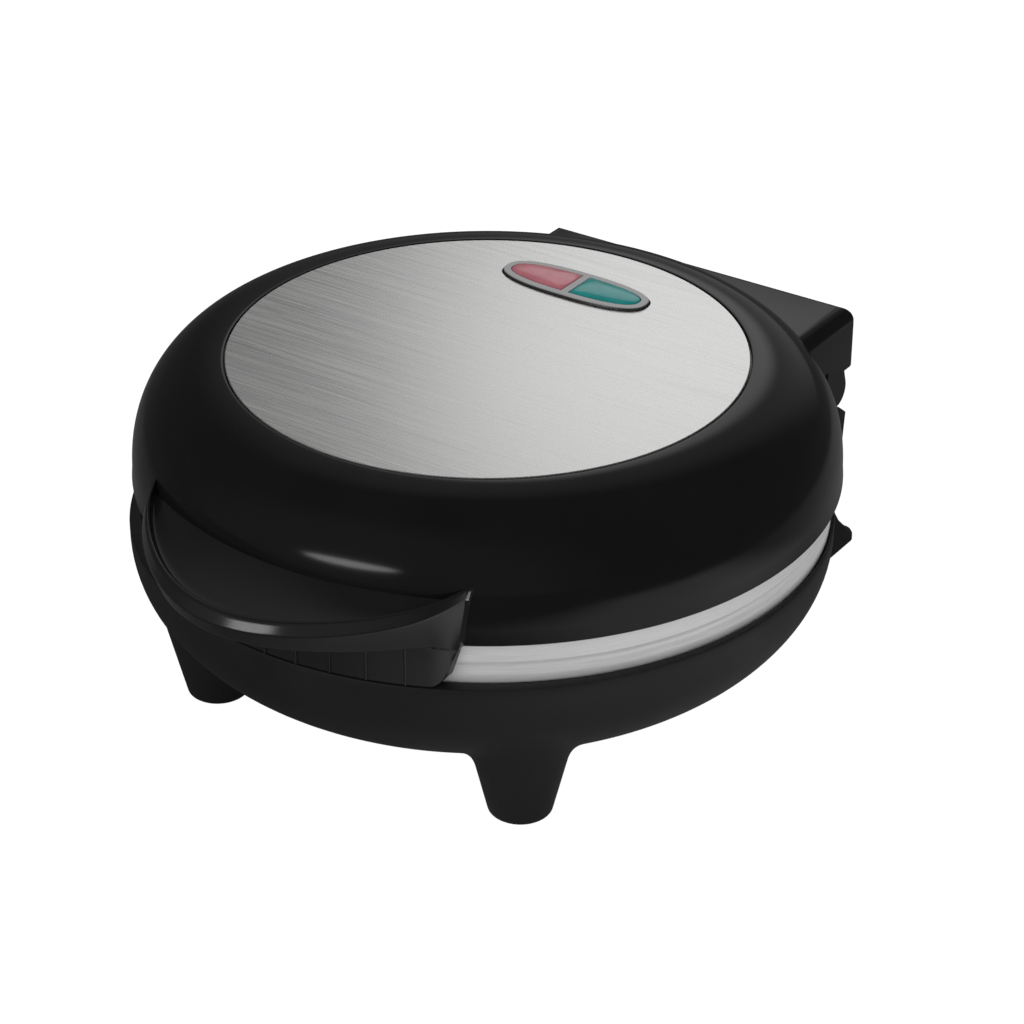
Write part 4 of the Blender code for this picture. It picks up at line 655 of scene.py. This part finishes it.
shape(block, "DIFFERENCE", extruded("block hollow", [(-KNUCKLE_INNER, y, z) for y, z in BLOCK_HOLLOW],
                                    (2 * KNUCKLE_INNER, 0, 0)))
dress(together("lid_dome", dome, block), "gloss_black", "lid", "lid_shell")

# Trim ring: a satin silver band of rolled aluminium hung in the lid's edge,
# with a shallow channel rolled round it.
RING_BAND = ((0.1073, 0.0781), (0.1087, 0.0781), (0.1087, 0.0676), (0.10878, 0.0667), (0.10888, 0.0661),
             (0.1089, 0.0658), (0.10886, 0.0655), (0.1086, 0.0651), (0.1083, 0.0646), (0.10812, 0.0640),
             (0.10812, 0.0634), (0.10825, 0.0628), (0.1085, 0.0622), (0.10875, 0.0617), (0.10888, 0.0612),
             (0.1089, 0.0608), (0.1089, 0.0580), (0.10878, 0.0577), (0.1085, 0.0576), (0.1044, 0.0576),
             (0.1044, 0.0588), (0.1073, 0.0588), (0.1073, 0.0781))

make_look("satin_silver", ((0.73, 0.73, 0.735), (0.84, 0.84, 0.845)), (0.40, 0.50), turning,
          {"Spacing": 0.00022, "Stretch": 0.002, "Depth": 0.000004}, metallic=0.25)
dress(turned("silver_band", RING_BAND, LID_Y, steps=256), "satin_silver", "lid", "trim_ring")

# Top disc: 0.8 mm stainless sheet, brushed straight along the hinge and
# pressed flush into the sunk top of the lid.
DISC_RADIUS = 0.0815
DISC_BOTTOM_Z = 0.1100
DISC_EDGE = 0.0002
DISC_GAP = 0.0005
DISC_CUT_Z = (0.1090, 0.1130)
LIGHT_X = -0.0025
LIGHT_Y = 0.05555
LIGHT_HALF = (0.0268, 0.0092)
LIGHT_POWER = 2.5
LIGHT_TOP = 0.1118
LIGHT_FRAME = 0.0025
LIGHT_BAR = 0.0025


def bulge(value):
    """A cosine or sine drawn out to a superellipse's."""
    return math.copysign(abs(value) ** (2 / LIGHT_POWER), value)


def oval(inset, z, steps=120):
    """The indicator's outline at a height, drawn in by an inset."""
    turns = [math.tau * (step + 0.5) / steps for step in range(steps)]
    return [(LIGHT_X + (LIGHT_HALF[0] - inset) * bulge(math.cos(turn)),
             LIGHT_Y + (LIGHT_HALF[1] - inset) * bulge(math.sin(turn)), z) for turn in turns]


make_look("brushed_steel", ((0.64, 0.64, 0.635), (0.90, 0.90, 0.89)), (0.24, 0.33), brushed,
          {"Spacing": 0.00070, "Stretch": 70.0, "Depth": 0.000010}, metallic=0.92)
disc = turned("steel_disc", [(0, DISC_BOTTOM_Z), (DISC_RADIUS, DISC_BOTTOM_Z),
                             (DISC_RADIUS, LID_TOP_Z - DISC_EDGE), (DISC_RADIUS - DISC_EDGE, LID_TOP_Z),
                             (0, LID_TOP_Z)], LID_Y)
shape(disc, "DIFFERENCE", lofted("light opening", [oval(-DISC_GAP, z) for z in DISC_CUT_Z]))
dress(disc, "brushed_steel", "lid", "top_disc", 20)

# Handle: the dished lip with its rounded crest, its two ears and the ribbed
# skirt that wraps the rim, one gloss moulding screwed on from inside the lid.
HANDLE_HALF = 0.0574
EAR_LIFT = 0.0029
HANDLE_REACH = 0.1380
LIP_REACH = 0.1366
LIP_SWEEP = 0.0430
LIP_RISE = 0.0043
LIP_FALL = 0.0046
UNDER_RISE = 0.0012
UNDER_ROUND = 0.0012
CREST_SWEEP = 0.0378
CREST_TURN = 0.0055
CREST_RISE = 0.0127
CREST_LIFT = 0.0026
CREST_WIDTH = 0.0038
CREST_FLAT = 0.0029
CREST_ROUND = 0.0010
# Back and down from the crest: its lower edge, the flat band that leans back, its round brow
CREST_EDGE = ((0.0001, 0.0044), (-0.0001, 0.0039), (0.00015, 0.0034))
CREST_BAND = ((0.0003, 0.0031), (0.0011, 0.0015))
CREST_BROW = ((0.00125, 0.0012), (0.0017, 0.0001), (0.0028, 0))
DISH_DEPTH = 0.0031
DISH_POWER = 1.5
DISH_SINK = 0.0012
DISH_STEPS = 28
HANDLE_TOP = 0.0155
HANDLE_INNER = 0.0600
HANDLE_EDGE = 0.0007
SKIRT_DROP = 0.0131
HANDLE_FRONT = ((0.0528, -0.0131), (0.0557, -0.0020), (0.0579, 0.0004), (0.0592, 0.0212))
HANDLE_FRONT_ROUNDS = (0.0045, 0.0015, 0.0015, 0.0)
SKIRT_TURN = (0.0562, 0.0062)
EAR_TURN = (0.0592, 0.0018)
SKIRT_STAND = 0.0030
SKIRT_MELD = 0.0004
SKIRT_EDGE = 0.0006
HANDLE_SINK = 0.0009
HANDLE_BACK = 0.022
HANDLE_SEAT = 0.1093
RIB_PITCH = 0.0110
RIB_HALF = 0.0004
RIB_OUT = 0.0007
RIB_IN = 0.0015
RIB_ROUND = 0.0003


def lid_reach(rise):
    """The lid's outside radius at a height over its edge."""
    low = LID_SIDE[1] - LID_EDGE_Z
    if rise < low:
        return LID_RADIUS + (LID_SIDE[0] - LID_RADIUS) * max(rise, 0) / low
    share = (rise - low) / (LID_TOP_Z - LID_SIDE[1])
    return LID_FLAT + (LID_SIDE[0] - LID_FLAT) * (1 - share ** LID_POWER) ** (1 / LID_POWER)


def bend(start, middle, end, steps):
    """Points of a quadratic curve."""
    return [tuple((1 - t) ** 2 * a + 2 * t * (1 - t) * b + t ** 2 * c for a, b, c in zip(start, middle, end))
            for t in [step / steps for step in range(steps + 1)]]


def turn_in(x, end, radius):
    """How far a corner rounded in plan has drawn back at one X."""
    far = min(max((abs(x) - end + radius) / radius, 0), 1)
    return radius * (1 - math.sqrt(1 - far ** 2))


def handle_section(x):
    """(forward, rise) points round the handle's section at one X."""
    drawn = turn_in(x, *EAR_TURN)
    skirt = SKIRT_STAND + math.sqrt(BASE_RADIUS ** 2 - x ** 2)
    x = max(-HANDLE_HALF, min(HANDLE_HALF, x))
    share = abs(x) / HANDLE_HALF
    lip = max(LIP_REACH - LIP_SWEEP * share ** 2, skirt + SKIRT_MELD) - drawn
    skirt -= turn_in(x, *SKIRT_TURN)
    rise = LIP_RISE - LIP_FALL * share ** 2
    crest = HANDLE_REACH - CREST_SWEEP * share ** 2 - CREST_TURN * share ** 16 - drawn * 0.5
    top = CREST_RISE + CREST_LIFT * share ** 2 + EAR_LIFT * share ** 10
    section = [(HANDLE_INNER, -SKIRT_DROP)]
    section += bend((skirt - SKIRT_EDGE, -SKIRT_DROP), (skirt, -SKIRT_DROP),
                    (skirt, -SKIRT_DROP + SKIRT_EDGE), 3)
    under = min(UNDER_RISE, rise - HANDLE_EDGE)
    section += bend((skirt, under - UNDER_ROUND), (skirt, under),
                    (skirt * 0.8 + lip * 0.2, under * 0.8 + rise * 0.2), 4)
    section += bend((lip - HANDLE_EDGE, rise), (lip, rise),
                    (lip + (crest - lip) * 0.1, rise + HANDLE_EDGE), 4)
    edge, band, brow = [[(crest - back, top - down) for back, down in row]
                        for row in (CREST_EDGE, CREST_BAND, CREST_BROW)]
    section += bend(*edge, 4) + band + bend(*brow, 6)
    inner = (crest - CREST_WIDTH, top - CREST_ROUND)
    section += bend((crest - CREST_FLAT, top), (crest - CREST_WIDTH, top), inner, 5)
    floor = top - DISH_DEPTH
    start = crest - CREST_WIDTH - HANDLE_EDGE
    end = min(math.sqrt(lid_reach(HANDLE_TOP) ** 2 - x ** 2), start) - DISH_SINK
    dish = [(start + (end - start) * step / DISH_STEPS,
             floor + (HANDLE_TOP - floor) * (step / DISH_STEPS) ** DISH_POWER)
            for step in range(DISH_STEPS + 1)]
    section += bend(inner, (crest - CREST_WIDTH, floor), dish[4], 7)[1:-1]
    return section + dish[4:] + [(HANDLE_INNER, HANDLE_TOP)]


stations = [HANDLE_HALF * math.sin(math.pi / 2 * (step / 70 - 1)) for step in range(141)]
beyond = [HANDLE_HALF + more for more in (0.0005, 0.0010, 0.0014, 0.0017, 0.0030)]
stations = [-x for x in beyond[::-1]] + stations + beyond
handle = lofted("handle", [[(x, LID_Y - forward, LID_EDGE_Z + rise) for forward, rise in handle_section(x)]
                           for x in stations])
low = LID_EDGE_Z - SKIRT_DROP
right = [(half, LID_EDGE_Z + rise) for half, rise in HANDLE_FRONT]
front = rounded(right + [(-half, z) for half, z in right[::-1]],
                HANDLE_FRONT_ROUNDS + HANDLE_FRONT_ROUNDS[::-1])
shape(handle, "INTERSECT", extruded("front", [(x, 0, z) for x, z in front], (0, -0.15, 0)))
core = [(0, low - 0.003), (HANDLE_SEAT, low - 0.003), (HANDLE_SEAT, LID_EDGE_Z - LID_ROUND),
        (LID_RADIUS, LID_EDGE_Z - LID_ROUND)]
core += [(lid_reach(rise / 1000) - HANDLE_SINK, LID_EDGE_Z + rise / 1000) for rise in range(23)]
shape(handle, "DIFFERENCE", turned("core", core + [(0, LID_EDGE_Z + HANDLE_BACK)], LID_Y))
ribs = []
for number in range(-4, 5):
    x = number * RIB_PITCH
    reach = SKIRT_STAND + math.sqrt(BASE_RADIUS ** 2 - (abs(x) + RIB_HALF) ** 2)
    plan = rounded([(x - RIB_HALF, LID_Y - reach - RIB_OUT), (x + RIB_HALF, LID_Y - reach - RIB_OUT),
                    (x + RIB_HALF, LID_Y - reach + RIB_IN), (x - RIB_HALF, LID_Y - reach + RIB_IN)],
                   [RIB_ROUND, RIB_ROUND, 0, 0], 3)
    height = SKIRT_DROP + min(UNDER_RISE, LIP_RISE - LIP_FALL * (x / HANDLE_HALF) ** 2)
    ribs.append(extruded(f"rib {number}", [(x, y, low + 0.0003) for x, y in plan], (0, 0, height)))
make_look("handle_black", ((0.0090, 0.0090, 0.0092), (0.0105, 0.0105, 0.0108)), (0.16, 0.22), moulded,
          {"Grain": 0.0005, "Depth": 0.000003, "Patch": 0.02}, specular=0.5)
dress(together("handle", handle, *ribs), "handle_black", "lid", "lid_handle")

# Indicator: a grey oval bezel standing on the disc, its side wall painted near
# black as shade, with a clear red and a clear green lens snapped into it beside
# each other.
BEZEL_BOTTOM_Z = 0.1101
BEZEL_FLAT = 0.0020
LENS_SEAT_Z = (0.1113, 0.1140)
LENS_BOTTOM_Z = 0.1114
LENS_GAP = 0.0003
LENS_RISE = 0.0009


def lens_ring(side, inset, z, scale=1.0, steps=40):
    """The half oval of one lens, shrunk about its middle."""
    length, width = LIGHT_HALF[0] - LIGHT_FRAME - inset, LIGHT_HALF[1] - LIGHT_FRAME - inset
    limit = math.acos(((LIGHT_BAR / 2 + inset) / length) ** (LIGHT_POWER / 2))
    middle = side * (LIGHT_BAR / 2 + length) / 2
    ring = []
    for step in range(steps + 1):
        turn = limit * (2 * step / steps - 1)
        x = side * length * math.cos(turn) ** (2 / LIGHT_POWER)
        y = width * bulge(math.sin(turn))
        ring.append((LIGHT_X + middle + (x - middle) * scale, LIGHT_Y + y * scale, z))
    return ring


make_look("bezel_grey", ((0.30, 0.295, 0.30), (0.35, 0.345, 0.35)), (0.25, 0.33), moulded,
          {"Grain": 0.0004, "Depth": 0.000004, "Patch": 0.01})
tree = LOOKS["bezel_grey"].node_tree
# The bezel's side wall, below its top, is painted near black: painted shade on that wall.
painted_shade_side = node(tree, "ShaderNodeMix", data_type="RGBA")
painted_shade_side.inputs[6].default_value = (0.03, 0.03, 0.03, 1)
axes = node(tree, "ShaderNodeSeparateXYZ")
wire(tree, node(tree, "ShaderNodeTexCoord").outputs["Object"], axes.inputs[0])
wire(tree, ramp(tree, axes.outputs["Z"], LIGHT_TOP - 0.0003, LIGHT_TOP - 0.0001, 0.0, 1.0),
     painted_shade_side.inputs[0])
shader = tree.nodes["Principled BSDF"]
wire(tree, shader.inputs["Base Color"].links[0].from_socket, painted_shade_side.inputs[7])
wire(tree, painted_shade_side.outputs[2], shader.inputs["Base Color"])
for name, colours in (("red_lens", ((0.42, 0.13, 0.16), (0.48, 0.16, 0.19))),
                      ("green_lens", ((0.010, 0.21, 0.20), (0.016, 0.26, 0.25)))):
    make_look(name, colours, (0.06, 0.10), moulded, {"Grain": 0.001, "Depth": 0.0000005, "Patch": 0.008})
bezel = lofted("bezel", [oval(0, BEZEL_BOTTOM_Z), oval(0, LIGHT_TOP - 0.0005),
                         oval(0.0001, LIGHT_TOP - 0.0002), oval(0.0004, LIGHT_TOP),
                         oval(BEZEL_FLAT, LIGHT_TOP)])
for side in (-1, 1):
    shape(bezel, "DIFFERENCE",
          lofted("lens seat", [lens_ring(side, 0, z) for z in LENS_SEAT_Z]))
dress(bezel, "bezel_grey", "lid", "indicator_bezel")
for side, colour in ((-1, "red"), (1, "green")):
    rings = [lens_ring(side, LENS_GAP, LENS_BOTTOM_Z), lens_ring(side, LENS_GAP, LIGHT_TOP)]
    rings += [lens_ring(side, LENS_GAP, LIGHT_TOP + LENS_RISE * math.sin(math.radians(turn)),
                        1 - 0.96 * (1 - math.cos(math.radians(turn)) ** 0.9)) for turn in range(10, 90, 8)]
    dress(lofted(f"{colour}_window", rings), f"{colour}_lens", "lid", f"{colour}_lens", 45)

# Cooking plates: two die castings with half-moon pockets, dark non-stick
# coating, held by four screws each through the shells.
PLATE_RADIUS = 0.1036
PLATE_FACES = (("lower", 0.05815, -1, "base"), ("upper", 0.05845, 1, "lid"))
BOSS_DEPTHS = (0.0155, 0.0242)
BOSS_RADIUS = 0.005
MOUTH = ((-0.0014, -0.0006), (-0.0012, 0.0), (-0.0005, 0.0003))
MOON_RADIUS = 0.0900
MOON_FLAT = 0.0060
MOON_CORNER = 0.0130
MOON_DEPTH = 0.0140
MOON_DRAFT = 0.0022
MOON_FLOOR = 0.0035
PLATE_WALL = 0.0030
PLATE_FLANGE = 0.0030

make_look("coated_plate", ((0.020, 0.020, 0.021), (0.030, 0.030, 0.031)), (0.38, 0.48), moulded,
          {"Grain": 0.0006, "Depth": 0.000010, "Patch": 0.02}, metallic=0.2)


def half_moon(side, inset, z):
    """One pocket's outline at a height, drawn in by an inset."""
    radius, flat, corner = MOON_RADIUS - inset, MOON_FLAT + inset, MOON_CORNER - inset
    middle = (flat + corner, math.sqrt((radius - corner) ** 2 - (flat + corner) ** 2))
    lean = math.degrees(math.atan2(middle[1], middle[0]))
    outline = arc((0, 0), radius, -lean, lean, 64) + arc(middle, corner, lean, 180, 16)[1:]
    outline += arc((middle[0], -middle[1]), corner, 180, 360 - lean, 16)[:-1]
    return [(side * x, LID_Y + y, z) for x, y in outline]


def moon_levels(wall):
    """(depth, inset) steps from a pocket's mouth to its floor."""
    depth, turn_radius = MOON_DEPTH + wall, MOON_FLOOR + wall
    drafted = MOON_DRAFT * (depth - turn_radius) / depth
    return [(0.0012, -wall + 0.0001), (depth - turn_radius, drafted - wall)] + [
        (depth - turn_radius + turn_radius * math.sin(turn),
         drafted - wall + turn_radius * (1 - math.cos(turn)))
        for turn in [math.pi / 2 * step / 8 for step in range(1, 9)]]


for name, face_z, away, body in PLATE_FACES:
    edge = [(0, 0), (PLATE_RADIUS - 0.0008, 0), (PLATE_RADIUS - 0.0002, 0.0003), (PLATE_RADIUS, 0.0009),
            (PLATE_RADIUS, 0.0024), (PLATE_RADIUS - 0.0006, PLATE_FLANGE), (0, PLATE_FLANGE)]
    plate = turned(f"{name}_casting", [(radius, face_z + away * depth) for radius, depth in edge], LID_Y)
    for side in (-1, 1):
        tub = [half_moon(side, inset, face_z + away * depth) for depth, inset in moon_levels(PLATE_WALL)]
        shape(plate, "UNION", lofted("tub", tub))
    for x in (-POST_SPREAD, POST_SPREAD):
        for y in (LID_Y - POST_SPREAD, LID_Y + POST_SPREAD):
            near, far = [face_z + away * depth for depth in BOSS_DEPTHS]
            shape(plate, "UNION", cylinder("boss", (x, y, near), (x, y, far), BOSS_RADIUS))
    for side in (-1, 1):
        pocket = [half_moon(side, inset, face_z + away * depth) for inset, depth in MOUTH]
        pocket += [half_moon(side, inset, face_z + away * depth) for depth, inset in moon_levels(0)]
        shape(plate, "DIFFERENCE", lofted("pocket", pocket))
    dress(plate, "coated_plate", body, f"{name}_plate")

# What stays as the solids are: pads, pins, elements, reflectors, controls,
# lamps, tray and screws, each with a finish of its own grain.
make_look("sheathed_tube", ((0.17, 0.15, 0.13), (0.30, 0.26, 0.22)), (0.40, 0.60), moulded,
          {"Grain": 0.0003, "Depth": 0.000010, "Patch": 0.012}, metallic=1.0)
make_look("sheet_aluminium", ((0.62, 0.63, 0.64), (0.74, 0.75, 0.76)), (0.25, 0.42), brushed,
          {"Spacing": 0.0004, "Stretch": 50.0, "Depth": 0.000005}, metallic=1.0)
make_look("zinc_steel", ((0.48, 0.49, 0.50), (0.62, 0.62, 0.60)), (0.26, 0.42), moulded,
          {"Grain": 0.0002, "Depth": 0.000004, "Patch": 0.004}, metallic=1.0)
make_look("white_insulator", ((0.74, 0.73, 0.70), (0.82, 0.81, 0.78)), (0.35, 0.50), moulded,
          {"Grain": 0.0003, "Depth": 0.000008, "Patch": 0.006})
make_look("foot_rubber", ((0.018, 0.018, 0.018), (0.026, 0.026, 0.026)), (0.75, 0.90), moulded,
          {"Grain": 0.0003, "Depth": 0.000020, "Patch": 0.005})
make_look("lamp_glass", ((0.80, 0.80, 0.78), (0.86, 0.84, 0.80)), (0.03, 0.07), moulded,
          {"Grain": 0.001, "Depth": 0.0000005, "Patch": 0.004}, glass=0.8)
for part in frame["record"]["subparts"]:
    solid = frame["nodes"][part["node"]]
    for place in solid.material_slots:
        place.material = LOOKS[part["material_slot"]]
